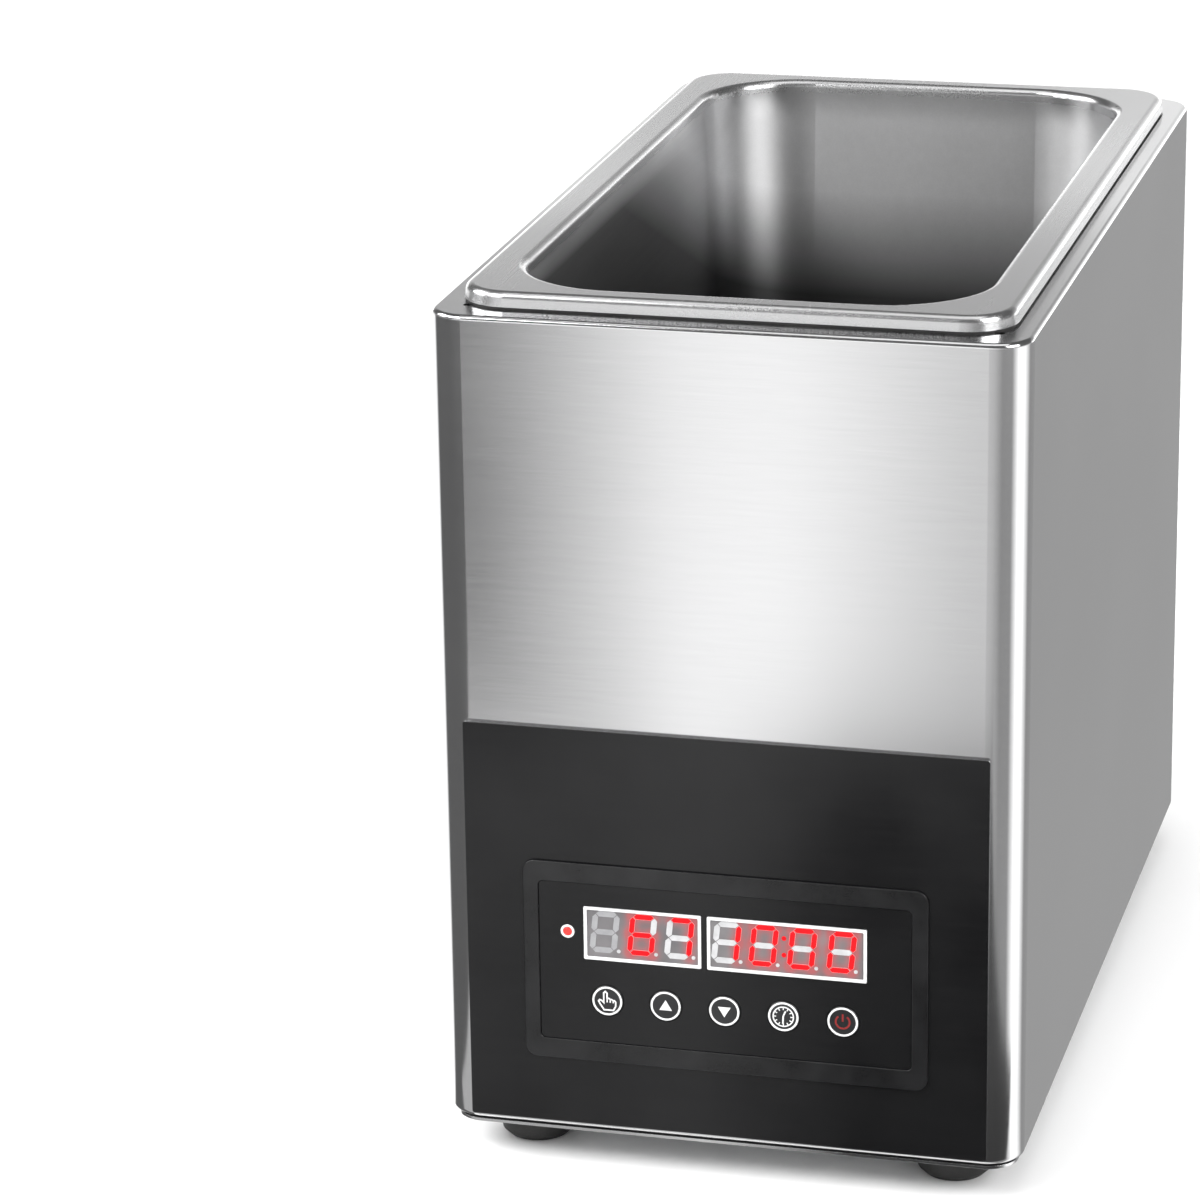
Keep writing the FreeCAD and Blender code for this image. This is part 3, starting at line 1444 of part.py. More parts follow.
def control_board():
    """The circuit board behind the keys, with its switches."""
    item = node("PartDesign::Body", "control_board")
    face = sketch(item, "XZ_Plane", HALF_DEPTH - S.spacer_length)
    rounded(face, BOARD_WIDTH, BOARD_HEIGHT, S.block_corner, ZERO, BEZEL_Z)
    for x, z in BOARD_SCREWS:
        disc(face, S.small_thread + S.hole_clearance, x, z)
    pad(item, face, S.board_sheet, backwards=True)
    settle(item)
    single = block(master("tact_switches"), S.switch_size, S.switch_size, S.switch_height)
    board_front = -HALF_DEPTH + S.spacer_length
    group("tact_switches", (single, [(x, board_front, KEY_Z) for x in KEY_PLACES], FORWARD))


def board_fixings():
    """Spacers and screws of the control board and the power board."""
    single = turned(master("board_spacers"), [
        (S.small_thread, ZERO),
        (S.spacer_radius, ZERO),
        (S.spacer_radius, S.spacer_length),
        (S.small_thread, S.spacer_length),
    ])
    group(
        "board_spacers",
        (single, [(x, -HALF_DEPTH + S.spacer_length, z) for x, z in BOARD_SCREWS], FORWARD),
        (single, [(x, y, BASE_TOP) for x, y in POWER_SCREWS]),
    )
    single = screw("board_screws", S.small_thread, S.small_head, S.small_head_height, S.small_screw_length)
    board_back = -BOARD_BACK
    group(
        "board_screws",
        (single, [(x, board_back, z) for x, z in BOARD_SCREWS], BACKWARD),
        (single, [(x, y, POWER_TOP) for x, y in POWER_SCREWS]),
    )


def control_cover():
    """The splash box behind the control board."""
    item = node("PartDesign::Body", "control_cover")
    inner_face = HALF_DEPTH - S.shell_sheet
    width, height = BEZEL_WIDTH - S.cover_side * 2, S.bezel_height - S.cover_end * 2
    flange = sketch(item, "XZ_Plane", inner_face)
    rounded(flange, BEZEL_WIDTH + S.cover_wing * 2, height, S.rear_corner, ZERO, BEZEL_Z)
    for x, z in COVER_STUDS:
        disc(flange, S.small_thread + S.hole_clearance, x, z)
    pad(item, flange, S.cover_sheet, backwards=True)
    box = sketch(item, "XZ_Plane", inner_face)
    rounded(box, width, height, S.rear_corner, ZERO, BEZEL_Z)
    pad(item, box, S.cover_depth, backwards=True)
    hollow = sketch(item, "XZ_Plane", inner_face)
    wall = S.cover_sheet * 2
    rounded(hollow, width - wall, height - wall, S.rear_corner - S.cover_sheet, ZERO, BEZEL_Z)
    pocket(item, hollow, S.cover_depth - S.cover_sheet)
    way = sketch(item, "XY_Plane", BEZEL_Z - height / 2 + wall)
    disc(way, S.cable_radius + S.cable_clearance, *CABLE_PLACE)
    pocket(item, way, S.cover_sheet * 3)
    settle(item)


# ------------------------------------------------------------ the electrics

def cord_gland():
    """The inlet gland: body, rubber sleeve, dome cap and lock nut."""
    item = node("PartDesign::Body", "gland_body")
    top = S.gland_flange + S.gland_collar
    neck = S.gland_thread + S.gland_shoulder
    turned(item, [
        (S.gland_bore, -S.gland_inner_length),
        (S.gland_thread, -S.gland_inner_length),
        (S.gland_thread, ZERO),
        (S.gland_flange_radius, ZERO),
        (S.gland_flange_radius, S.gland_flange),
        (neck, S.gland_flange),
        (neck, top),
        (S.gland_bore, top),
    ])
    settle(item, *GLAND_PLACE, turn=BACKWARD)
    item = node("PartDesign::Body", "gland_seal")
    turned(item, [
        (S.cord_radius, top - S.gland_seal_length),
        (S.gland_bore, top - S.gland_seal_length),
        (S.gland_bore, top),
        (S.cord_radius, top),
    ])
    settle(item, *GLAND_PLACE, turn=BACKWARD)
    item = node("PartDesign::Body", "gland_cap")
    end = S.gland_flange + S.gland_cap_length
    mouth = S.cord_radius + S.gland_mouth_gap
    turned(item, [
        (neck, S.gland_flange + S.hole_clearance),
        (S.gland_cap_radius, S.gland_flange + S.hole_clearance),
        (S.gland_cap_radius, top),
        (S.gland_cap_radius - S.gland_cap_taper, (top + end) / 2),
        (S.gland_cap_radius - S.gland_cap_round, end),
        (mouth, end),
        (mouth, top),
        (neck, top),
    ])
    settle(item, *GLAND_PLACE, turn=BACKWARD)
    item = hexagon("gland_nut", S.gland_flange_radius, S.gland_nut_height, S.gland_thread, whole=True)
    inner = REAR_FACE - S.rear_sheet - S.gland_nut_height
    settle(item, GLAND_X, inner, GLAND_Z, BACKWARD)


def limit_thermostat():
    """The dry-run limiter behind the rear panel, with its reset button."""
    item = node("PartDesign::Body", "limit_thermostat")
    body = sketch(item, "XZ_Plane", -HALF_DEPTH)
    rounded(body, S.limiter_size, S.limiter_size, S.block_corner, S.limiter_x, LIMITER_Z)
    pad(item, body, S.limiter_depth)
    neck = sketch(item, "XZ_Plane", -HALF_DEPTH)
    disc(neck, S.limiter_neck, S.limiter_x, LIMITER_Z)
    pad(item, neck, S.limiter_neck_length, backwards=True)
    way = sketch(item, "XZ_Plane", -(HALF_DEPTH + S.limiter_neck_length))
    disc(way, S.reset_radius + S.reset_clearance, S.limiter_x, LIMITER_Z)
    doc.recompute()
    pocket(item, way, S.limiter_neck_length + S.reset_depth, forwards=True)
    settle(item)
    item = hexagon("limit_nut", S.limiter_nut_radius, S.limiter_nut_height, S.limiter_neck, whole=True)
    settle(item, S.limiter_x, REAR_FACE, LIMITER_Z, BACKWARD)
    item = node("PartDesign::Body", "reset_button")
    inner = -S.reset_depth + S.reset_travel + S.reset_clearance * 2
    tip = S.limiter_neck_length + S.reset_proud
    turned(item, [
        (ZERO, inner),
        (S.reset_radius, inner),
        (S.reset_radius, tip - S.reset_bevel),
        (S.reset_radius - S.reset_bevel, tip),
        (ZERO, tip),
    ])
    settle(item, S.limiter_x, HALF_DEPTH, LIMITER_Z, BACKWARD)


def limit_bulb():
    """The limiter's bulb under the floor, its capillary and two clips."""
    axis = FLOOR_UNDER - S.bulb_radius - S.bulb_clip_sheet
    end = BULB_Y + S.bulb_length / 2
    start = (S.limiter_x, HALF_DEPTH - S.limiter_depth / 2, LIMITER_Z + S.limiter_size / 2)
    up = (start[0], start[1], axis - S.capillary_drop)
    path = route(
        points_of([start, up, (BULB_X, end + S.capillary_run, axis), (BULB_X, end, axis)]),
        [S.capillary_bend.number, S.capillary_sweep.number],
    )
    tube = rod_along(path, S.capillary_radius.number)
    foot = points_of([(BULB_X, end, axis)])[0]
    length, radius = S.bulb_length.number, S.bulb_radius.number
    bulb = Part.makeCylinder(radius, length, foot, Vector(0, -1, 0))
    swept("limit_bulb", tube.fuse(bulb))
    single = master("bulb_clips")
    face = sketch(single, "XZ_Plane", S.bulb_clip_width / 2)
    half = S.bulb_radius + S.bulb_clip_wall
    drop = S.bulb_radius * 2 + S.bulb_clip_wall
    outline(face, [(-half, -drop), (half, -drop), (half, ZERO), (-half, ZERO)])
    disc(face, S.bulb_radius, ZERO, -(S.bulb_radius + S.bulb_clip_sheet))
    pad(single, face, S.bulb_clip_width, backwards=True)
    places = [(BULB_X, BULB_Y + side * S.bulb_length / 4, FLOOR_UNDER) for side in (1, -1)]
    group("bulb_clips", (single, places))


def power_board():
    """The power board on the base plate, with its relay and transformer."""
    item = node("PartDesign::Body", "power_board")
    plan = sketch(item, "XY_Plane", POWER_Z)
    rounded(plan, S.power_board_width, S.power_board_length, S.block_corner, POWER_X, POWER_Y)
    for x, y in POWER_SCREWS:
        disc(plan, S.small_thread + S.hole_clearance, x, y)
    pad(item, plan, S.board_sheet)
    settle(item)
    item = block(node("PartDesign::Body", "power_relay"), S.relay_width, S.relay_length, S.relay_height)
    settle(item, RELAY_X, RELAY_Y, POWER_TOP)
    item = node("PartDesign::Body", "power_transformer")
    block(item, S.transformer_width, S.core_length, S.transformer_height)
    coil = sketch(item, "XY_Plane", S.coil_lift)
    rounded(coil, S.coil_width, S.coil_length, S.coil_corner)
    pad(item, coil, S.coil_height)
    settle(item, TRANSFORMER_X, TRANSFORMER_Y, POWER_TOP)


def board_parts():
    """Three wire connectors and the buzzer, each soldered to its board."""
    plug = block(master("connector"), S.connector_width, S.connector_depth, S.connector_height)
    buzzer = turned(master("buzzer"), [
        (S.buzzer_hole, ZERO),
        (S.buzzer_radius, ZERO),
        (S.buzzer_radius, S.buzzer_height),
        (S.buzzer_hole, S.buzzer_height),
    ])
    group(
        "board_parts",
        (plug, [MAINS_PLUG, SIGNAL_PLUG]),
        (plug, [(CABLE_PLACE[0], -BOARD_BACK, CABLE_Z)], BACKWARD),
        (buzzer, [(-S.buzzer_offset, -BOARD_BACK, BEZEL_Z)], BACKWARD),
    )


def terminal_block():
    """The mains terminal block beside the cord gland."""
    item = node("PartDesign::Body", "terminal_block")
    block(item, S.terminal_block_width, S.terminal_block_length, S.terminal_block_height)
    for side in (1, -1):
        step = sketch(item, "XY_Plane", S.terminal_block_height)
        length = S.terminal_block_length - S.block_step_end * 2
        rounded(step, S.block_step_width, length, S.block_corner, side * S.block_step_x)
        pocket(item, step, S.block_step_depth)
    screws = sketch(item, "XY_Plane", S.terminal_block_height)
    for y in (-S.block_screw_pitch, ZERO, S.block_screw_pitch):
        disc(screws, S.small_head, ZERO, y)
    pocket(item, screws, S.block_screw_depth)
    settle(item, BLOCK_X, BLOCK_Y, BASE_TOP)


def wiring():
    """Six fixed leads between the terminals, the boards and the probe."""
    lead, cable = S.wire_radius.number, S.cable_radius.number
    soft, tight = S.wire_bend.number, S.wire_bend.number / 2
    leads = []
    terminal = FLOOR_UNDER - S.element_drop - S.terminal_length
    relay_back, relay_level = RELAY_Y + S.relay_length / 2, POWER_TOP + S.relay_height / 2
    for side in (1, -1):
        x, end_x = RELAY_X + side * S.relay_width / 4, side * S.element_inner
        points = [
            (x, relay_back, relay_level),
            (x, relay_back + S.wire_run, relay_level),
            (end_x, ELEMENT_REAR, terminal - S.wire_drop),
            (end_x, ELEMENT_REAR, terminal),
        ]
        leads.append((points, [soft, tight], lead))
    block_end = BLOCK_Y - S.terminal_block_length / 2
    plug_x, plug_y, plug_z = MAINS_PLUG
    for side in (1, -1):
        x, end_x = BLOCK_X + side * S.wire_gap, plug_x + side * S.wire_gap
        middle = (block_end + plug_y) / 2
        points = [
            (x, block_end, BASE_TOP + S.wire_rise),
            (x, middle + S.wire_run / 2, BASE_TOP + S.wire_rise),
            (end_x, middle, plug_z + S.connector_height / 2),
            (end_x, plug_y + S.connector_depth / 2, plug_z + S.connector_height / 2),
        ]
        leads.append((points, [soft, soft], lead))
    probe_x, probe_y, _ = PROBE_PLACE
    signal_x, signal_y, signal_z = SIGNAL_PLUG
    low = signal_z + S.connector_height / 2
    plug_end = signal_x - S.connector_width / 2
    points = [
        (probe_x, probe_y, FLOOR - S.bush_length - S.terminal_length),
        (probe_x, probe_y, low + S.wire_run / 2),
        (plug_end - S.wire_straight, signal_y, low),
        (plug_end, signal_y, low),
    ]
    leads.append((points, [tight, tight], lead))
    cable_x, cable_y = CABLE_PLACE
    points = [
        (cable_x, cable_y, CABLE_Z - S.connector_depth / 2),
        (cable_x, cable_y, low),
        (cable_x, signal_y - S.connector_depth / 2, low),
    ]
    leads.append((points, [soft], cable))
    rods = [rod_along(route(points_of(points), radii), radius) for points, radii, radius in leads]
    swept("wiring", Part.makeCompound(rods))


BUILDERS = (
    housing_shell, rear_panel, base_plate, base_gasket, feet, case_fasteners,
    tank_pan, flange_gasket, insulation_jacket, guard_plate,
    heating_element, temperature_probe, floor_fittings, drain_spud, drain_pipe, drain_valve,
    front_panel, control_bezel, control_overlay, displays, heating_lamp, keys,
    control_board, board_fixings, control_cover,
    cord_gland, limit_thermostat, limit_bulb, power_board, board_parts,
    terminal_block, wiring,
)


def check_features():
    """Stops at any failed object and at any cut that removed nothing."""
    for item in doc.Objects:
        if "Invalid" in item.State or "Error" in item.State:
            raise RuntimeError(f"{item.Name} failed: {item.State}")
    for item in doc.findObjects("PartDesign::Body"):
        volume = 0
        for feature in item.Group:
            if not feature.isDerivedFrom("PartDesign::Feature") or feature.Shape.isNull():
                continue
            cuts = feature.TypeId in ("PartDesign::Pocket", "PartDesign::Groove")
            if cuts and feature.Shape.Volume > volume - 1e-3:
                raise RuntimeError(f"{feature.Name} of {item.Name} cuts nothing")
            volume = feature.Shape.Volume


def write_parts():
    os.makedirs("parts", exist_ok=True)
    for item in nodes:
        if item.Shape.isNull() or not item.Shape.isValid():
            raise RuntimeError(f"{item.Label} has no valid shape")
        item.Shape.exportStep(f"parts/{item.Label}.step")


for build in BUILDERS:
    build()
doc.recompute()
check_features()
write_parts()
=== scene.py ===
import math

import bmesh
import bpy
from bpy.props import FloatProperty, FloatVectorProperty, PointerProperty, StringProperty
from mathutils import Matrix, Vector


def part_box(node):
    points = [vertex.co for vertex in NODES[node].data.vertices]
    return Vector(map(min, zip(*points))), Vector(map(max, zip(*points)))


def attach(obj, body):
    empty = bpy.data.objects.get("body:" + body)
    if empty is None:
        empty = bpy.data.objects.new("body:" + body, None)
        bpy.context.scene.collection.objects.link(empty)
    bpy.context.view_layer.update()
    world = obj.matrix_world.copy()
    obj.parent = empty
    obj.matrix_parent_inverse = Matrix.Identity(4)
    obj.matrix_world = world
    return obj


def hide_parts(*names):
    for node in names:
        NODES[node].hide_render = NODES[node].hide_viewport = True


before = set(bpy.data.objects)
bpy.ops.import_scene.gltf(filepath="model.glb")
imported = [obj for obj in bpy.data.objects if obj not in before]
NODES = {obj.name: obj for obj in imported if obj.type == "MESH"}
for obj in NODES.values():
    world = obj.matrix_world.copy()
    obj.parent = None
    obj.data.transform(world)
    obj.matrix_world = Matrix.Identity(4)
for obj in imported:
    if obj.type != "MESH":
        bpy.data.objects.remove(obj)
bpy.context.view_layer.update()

bl_info = {
    "name": "Egg boiler dressing",
    "version": (1, 0, 0),
    "blender": (4, 5, 0),
    "location": "View3D > Sidebar > Egg boiler",
    "description": "Finishes a stainless countertop egg boiler: steel, control module, displays and fittings",
    "category": "Object",
}

MM = 0.001
OUTWARD = Vector((0, -1, 0))

# Tank wall: how far below the rim it is fully dull, and where that begins
DULL_DEPTH, DULL_START = 14 * MM, 4 * MM
# Its painted shade, darker deep inside and towards the front: full and first depth at the middle, the rise to the
# back, and where the wall begins
SHADE_DEPTH, SHADE_START, SHADE_RISE = 30 * MM, -10 * MM, 0.45
WALL_DEPTH, WALL_START = 12 * MM, 5 * MM
# Rounding: edges sharper than one angle are rounded, flatter than the other are taken away
SHARP_ANGLE, FLAT_ANGLE, WELD = math.radians(50.0), math.radians(0.5), 1e-6


# ------------------------------------------------------------- settings

def colour(name, description, default):
    return FloatVectorProperty(
        name=name, description=description, subtype="COLOR", size=3, min=0, max=1, default=default,
    )


def share(name, description, default):
    return FloatProperty(name=name, description=description, subtype="FACTOR", min=0, max=1, default=default)


def length(name, description, default):
    return FloatProperty(
        name=name, description=description, subtype="DISTANCE", unit="LENGTH",
        min=0, max=1, precision=5, default=default,
    )


class BoilerSteel(bpy.types.PropertyGroup):
    """Stainless sheet of the case, the tank and the fittings."""

    case_light: colour("Case, light", "Lighter grey of the satin case sheet", (0.66, 0.66, 0.665))
    case_dark: colour("Case, dark", "Darker grey of the satin case sheet", (0.60, 0.60, 0.605))
    case_gloss: share("Case, smoothest", "Roughness of the case sheet between its brush lines", 0.13)
    case_satin: share("Case, roughest", "Roughness of the case sheet in its brush lines", 0.17)
    pan_gloss: share("Tank, smoothest", "Roughness of the drawn tank where it is smoothest", 0.24)
    pan_satin: share("Tank, roughest", "Roughness of the drawn tank where it is dullest", 0.29)
    pan_dull: share("Tank, inside", "How much rougher the tank is below its flange", 0.26)
    # Painted shade: the share of its colour that the tank loses deep inside and towards the front, standing in for the
    # shade there
    pan_painted_shade: share("Tank, stain", "Share of its colour that the tank loses deep inside", 0.88)


class BoilerPanel(bpy.types.PropertyGroup):
    """Black plate, bezel and overlay on the front."""

    film_dark: colour("Film, dark", "Darkest tone of the black film", (0.003, 0.003, 0.0035))
    film_light: colour("Film, light", "Lightest tone of the black film's brush lines", (0.009, 0.009, 0.0095))
    edge_round: length("Edge rounding", "Width of the small round on the plate's edges", 0.25 * MM)
    print_white: colour("White print", "Colour of the printed rings and symbols", (0.86, 0.86, 0.86))
    print_red: colour("Red print", "Colour of the power symbol", (0.24, 0.012, 0.011))


class BoilerDisplay(bpy.types.PropertyGroup):
    """The two digit modules and the lamp."""

    temperature: StringProperty(
        name="Temperature", description="Reading of the left module, a blank for a dark digit", default=" 67",
    )
    time: StringProperty(name="Time", description="Reading of the right module", default="10:00")
    digit_height: length("Digit height", "Height of a digit between the middles of its segments", 12.4 * MM)
    digit_width: length("Digit width", "Width of a digit between the middles of its segments", 7.1 * MM)
    segment_width: length("Segment width", "Width of one segment", 1.9 * MM)
    lit: colour("Lit", "Colour of a lit segment", (0.62, 0.004, 0.008))
    glow: FloatProperty(name="Glow", description="Strength of a lit segment's light", min=0, max=20, default=0.55)


class BoilerStage(bpy.types.PropertyGroup):
    """Floor, lights and camera."""

    azimuth: FloatProperty(
        name="Azimuth", description="Direction of the camera round the object", subtype="ANGLE",
        default=math.radians(15.026),
    )
    elevation: FloatProperty(
        name="Elevation", description="Height of the camera above the horizon", subtype="ANGLE",
        default=math.radians(18.489),
    )
    roll: FloatProperty(
        name="Roll", description="Turn of the camera about its own axis", subtype="ANGLE",
        default=math.radians(-0.932),
    )
    floor: colour("Floor", "Colour of the floor", (0.93, 0.93, 0.93))
    daylight: FloatProperty(
        name="Daylight", description="Strength of the even light from all round", min=0, max=10, default=0.95,
    )


# -------------------------------------------------------- node trees

class Tree:
    """Adds nodes to a tree and joins them."""

    def __init__(self, tree):
        self.tree = tree

    def add(self, kind, inputs=(), **settings):
        item = self.tree.nodes.new(kind)
        for key, value in settings.items():
            setattr(item, key, value)
        for key, value in dict(inputs).items():
            if isinstance(value, bpy.types.NodeSocket):
                self.tree.links.new(value, item.inputs[key])
            else:
                item.inputs[key].default_value = value
        return item

    def maths(self, operation, first, second=0.0):
        return self.add("ShaderNodeMath", {0: first, 1: second}, operation=operation).outputs[0]

    def spread(self, value, low, high, start=0.0, end=1.0):
        """Maps a 0 to 1 mask onto another range."""
        span = {"Value": value, "From Min": start, "From Max": end, "To Min": low, "To Max": high}
        return self.add("ShaderNodeMapRange", span).outputs["Result"]

    def split(self, place):
        return self.add("ShaderNodeSeparateXYZ", {0: place}).outputs

    def average(self, first, second, weight=0.5):
        """Adds two masks by their weights."""
        first, second = self.maths("MULTIPLY", first, weight), self.maths("MULTIPLY", second, 1 - weight)
        return self.maths("ADD", first, second)

    def noise(self, place, scale, detail=2.0, roughness=0.5, distortion=0.0):
        return self.add("ShaderNodeTexNoise", {
            "Vector": place, "Scale": scale, "Detail": detail, "Roughness": roughness, "Distortion": distortion,
        }).outputs["Fac"]

    def lift(self, height, distance):
        return self.add("ShaderNodeBump", {"Height": height, "Distance": distance, "Strength": 1.0}).outputs[0]

    def graded(self, mask, stops, peak=1.0):
        """Turns a mask into greys, by stops that give a place and a level."""
        ramp = self.add("ShaderNodeValToRGB", {"Fac": mask})
        points = ramp.color_ramp.elements
        while len(points) < len(stops):
            points.new(0.5)
        for point, (where, level) in zip(points, stops):
            point.position = where
            point.color = (level / peak, level / peak, level / peak, 1)
        return ramp.outputs["Color"]

    def blend(self, mask, first, second):
        """Mixes two colours by a mask."""
        item = self.add("ShaderNodeMix", data_type="RGBA")
        for index, value in ((0, mask), (6, first), (7, second)):
            if isinstance(value, bpy.types.NodeSocket):
                self.tree.links.new(value, item.inputs[index])
            elif index:
                item.inputs[index].default_value = (*value[:3], 1)
            else:
                item.inputs[index].default_value = value
        return item.outputs[2]


def grain_group(name, mask, scale, cloud_scale, build):
    """Makes a grain once: a group that turns a place into a fine mask and a soft cloud."""
    group = bpy.data.node_groups.get(name)
    if group:
        return group
    group = bpy.data.node_groups.new(name, "ShaderNodeTree")
    group.interface.new_socket("Vector", in_out="INPUT", socket_type="NodeSocketVector")
    for label, default in (("Scale", scale), ("Cloud Scale", cloud_scale)):
        group.interface.new_socket(label, in_out="INPUT", socket_type="NodeSocketFloat").default_value = default
    for label in (mask, "Cloud"):
        group.interface.new_socket(label, in_out="OUTPUT", socket_type="NodeSocketFloat")
    tree = Tree(group)
    tree.add("NodeGroupOutput", build(tree, tree.add("NodeGroupInput").outputs))
    return group


def brushed_lines():
    """Streaks along X: a fine and a coarse set, and the smudges between them."""
    def build(tree, given):
        def stretched(squeeze):
            place = tree.add("ShaderNodeVectorMath", {0: given["Vector"], 1: squeeze}, operation="MULTIPLY")
            return tree.noise(place.outputs[0], given["Scale"], 3.0, 0.6)
        lines = tree.average(stretched((0.02, 1.0, 1.0)), stretched((0.006, 0.16, 0.16)), 0.6)
        return {
            "Lines": tree.spread(lines, 0.0, 1.0, 0.33, 0.67),
            "Cloud": tree.spread(tree.noise(given["Vector"], given["Cloud Scale"]), 0.0, 1.0, 0.35, 0.65),
        }
    return grain_group("Brushed lines", "Lines", 2500.0, 12.0, build)


def moulded_skin():
    """The fine pebbled skin of mouldings, with broad soft shading."""
    def build(tree, given):
        pebble = tree.add("ShaderNodeTexVoronoi", {"Vector": given["Vector"], "Scale": given["Scale"]})
        cloud = tree.noise(given["Vector"], given["Cloud Scale"], 3.0, 0.55)
        return {
            "Pebble": tree.spread(pebble.outputs["Distance"], 0.0, 1.0, 0.0, 0.7),
            "Cloud": tree.spread(cloud, 0.0, 1.0, 0.35, 0.65),
        }
    return grain_group("Moulded skin", "Pebble", 2200.0, 60.0, build)


def bare_tree(holder):
    """Empties the node tree of a material or a world, to build it anew."""
    holder.use_nodes = True
    holder.node_tree.nodes.clear()
    return Tree(holder.node_tree)


def new_material(name):
    material = bpy.data.materials.new(name)
    tree = bare_tree(material)
    shader = tree.add("ShaderNodeBsdfPrincipled")
    tree.add("ShaderNodeOutputMaterial", {"Surface": shader.outputs[0]})
    return material, tree, shader, tree.add("ShaderNodeTexCoord").outputs


def plug(tree, shader, **values):
    """Sets the shader's sockets; underscores stand for spaces."""
    for key, value in values.items():
        socket = shader.inputs[key.replace("_", " ")]
        if isinstance(value, bpy.types.NodeSocket):
            tree.tree.links.new(value, socket)
        else:
            socket.default_value = value


def grained(name, group, scale=None, cloud=None, turn=None):
    """Starts a material on a grain; returns it with its tree, shader, place and the grain's masks."""
    material, tree, shader, place = new_material(name)
    spot = place["Object"]
    if turn is not None:
        spot = tree.add("ShaderNodeMapping", {"Vector": spot, "Rotation": turn}).outputs[0]
    grain = tree.add("ShaderNodeGroup", {"Vector": spot}, node_tree=group)
    for label, value in (("Scale", scale), ("Cloud Scale", cloud)):
        if value is not None:
            grain.inputs[label].default_value = value
    return material, tree, shader, place, grain.outputs


def brushed(
    name, dark, light, smooth, rough, turn=(0, 0, 0), scale=2500.0, cloud=12.0, depth=0.4e-6,
    dull=0.0, stain=0.0, **extra,
):
    """Brushed or drawn metal with its lines along X, unless turned.

    Below the tank's rim it is rougher by dull, and darker by a share of its colour with depth and towards the front:
    painted shade.
    """
    material, tree, shader, place, grain = grained(name, brushed_lines(), scale, cloud, turn)
    lines = grain["Lines"]
    wear = tree.average(lines, grain["Cloud"], 0.55)
    tone, roughness = tree.blend(wear, dark, light), tree.spread(wear, smooth, rough)
    # Painted shade: the tank's colour darkens deep below the rim and towards the front, standing in for the shade
    # inside it
    if stain:
        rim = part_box("tank_pan")[1].z
        spot = tree.split(place["Object"])
        height = spot["Z"]
        inside = tree.spread(height, dull, 0.0, rim - DULL_DEPTH, rim - DULL_START)
        roughness = tree.maths("ADD", roughness, inside)
        sloped = tree.maths("ADD", height, tree.maths("MULTIPLY", spot["Y"], SHADE_RISE))
        shade = tree.spread(sloped, 1.0, 0.0, rim - SHADE_DEPTH, rim - SHADE_START)
        wall = tree.spread(height, 1.0, 0.0, rim - WALL_DEPTH, rim - WALL_START)
        tone = tree.blend(tree.maths("MULTIPLY", shade, wall), tone, tinted(dark, 1 - stain))
    plug(
        tree, shader, Metallic=1.0, Base_Color=tone,
        Roughness=roughness, Normal=tree.lift(lines, depth), **extra,
    )
    if "Anisotropic" in extra:
        around = tree.add("ShaderNodeTangent", direction_type="RADIAL", axis="Z")
        plug(tree, shader, Tangent=around.outputs[0])
    return material


def moulded(name, dark, light, smooth, rough, scale=2200.0, cloud=60.0, depth=8e-6):
    """Moulded plastic or rubber."""
    material, tree, shader, _, skin = grained(name, moulded_skin(), scale, cloud)
    pebble, shade = skin["Pebble"], skin["Cloud"]
    plug(
        tree, shader, Base_Color=tree.blend(shade, dark, light),
        Roughness=tree.spread(tree.average(pebble, shade), smooth, rough), Normal=tree.lift(pebble, depth),
    )
    return material


def tinted(base, factor):
    return tuple(min(1.0, part * factor) for part in base)


# ------------------------------------------------------------ materials

def film_black(name, panel, bare_edge):
    """Black film with fine level brush lines; cut edges show bare metal."""
    material, tree, shader, place, grain = grained(name, brushed_lines(), 3600.0, 26.0)
    tone = tree.average(grain["Lines"], grain["Cloud"])
    base = tree.blend(tone, panel.film_dark, panel.film_light)
    if bare_edge:
        facing = tree.split(place["Normal"])
        edge = tree.spread(tree.maths("ABSOLUTE", facing["Y"]), 1.0, 0.0, 0.55, 0.95)
        base = tree.blend(edge, base, (0.62, 0.62, 0.63))
        plug(tree, shader, Metallic=edge)
    plug(
        tree, shader, Base_Color=base, Roughness=tree.spread(tone, 0.17, 0.25),
        Normal=tree.lift(grain["Lines"], 0.5e-6), Specular_IOR_Level=0.38,
    )
    return material


def glowing_face(name):
    """Grey digit face that picks up red light round the lit segments."""
    material, tree, shader, _, skin = grained(name, moulded_skin())
    halo = tree.add("ShaderNodeAttribute", attribute_name="glow", attribute_type="GEOMETRY")
    grey = tree.blend(skin["Cloud"], (0.13, 0.125, 0.13), (0.19, 0.18, 0.185))
    face = tree.blend(halo.outputs["Fac"], grey, (0.30, 0.085, 0.09))
    plug(
        tree, shader, Base_Color=face,
        Roughness=tree.spread(skin["Pebble"], 0.38, 0.5),
        Emission_Color=tree.blend(halo.outputs["Fac"], (0, 0, 0), (0.30, 0.012, 0.015)),
        Emission_Strength=0.35,
    )
    return material


def lit_plastic(name, colours, strength, roughness=(0.3, 0.4), **extra):
    """Plastic and print that glow in their own colour by a given strength: lit segments and the lamp are lit from
    behind; the faint glow of unlit segment windows and points is a painted glow.
    """
    material, tree, shader, _, skin = grained(name, moulded_skin(), cloud=350.0)
    tone = tree.blend(skin["Cloud"], tinted(colours, 0.86), colours)
    plug(
        tree, shader, Base_Color=tone, Emission_Color=tone, Emission_Strength=strength,
        Roughness=tree.spread(skin["Pebble"], *roughness), **extra,
    )
    return material


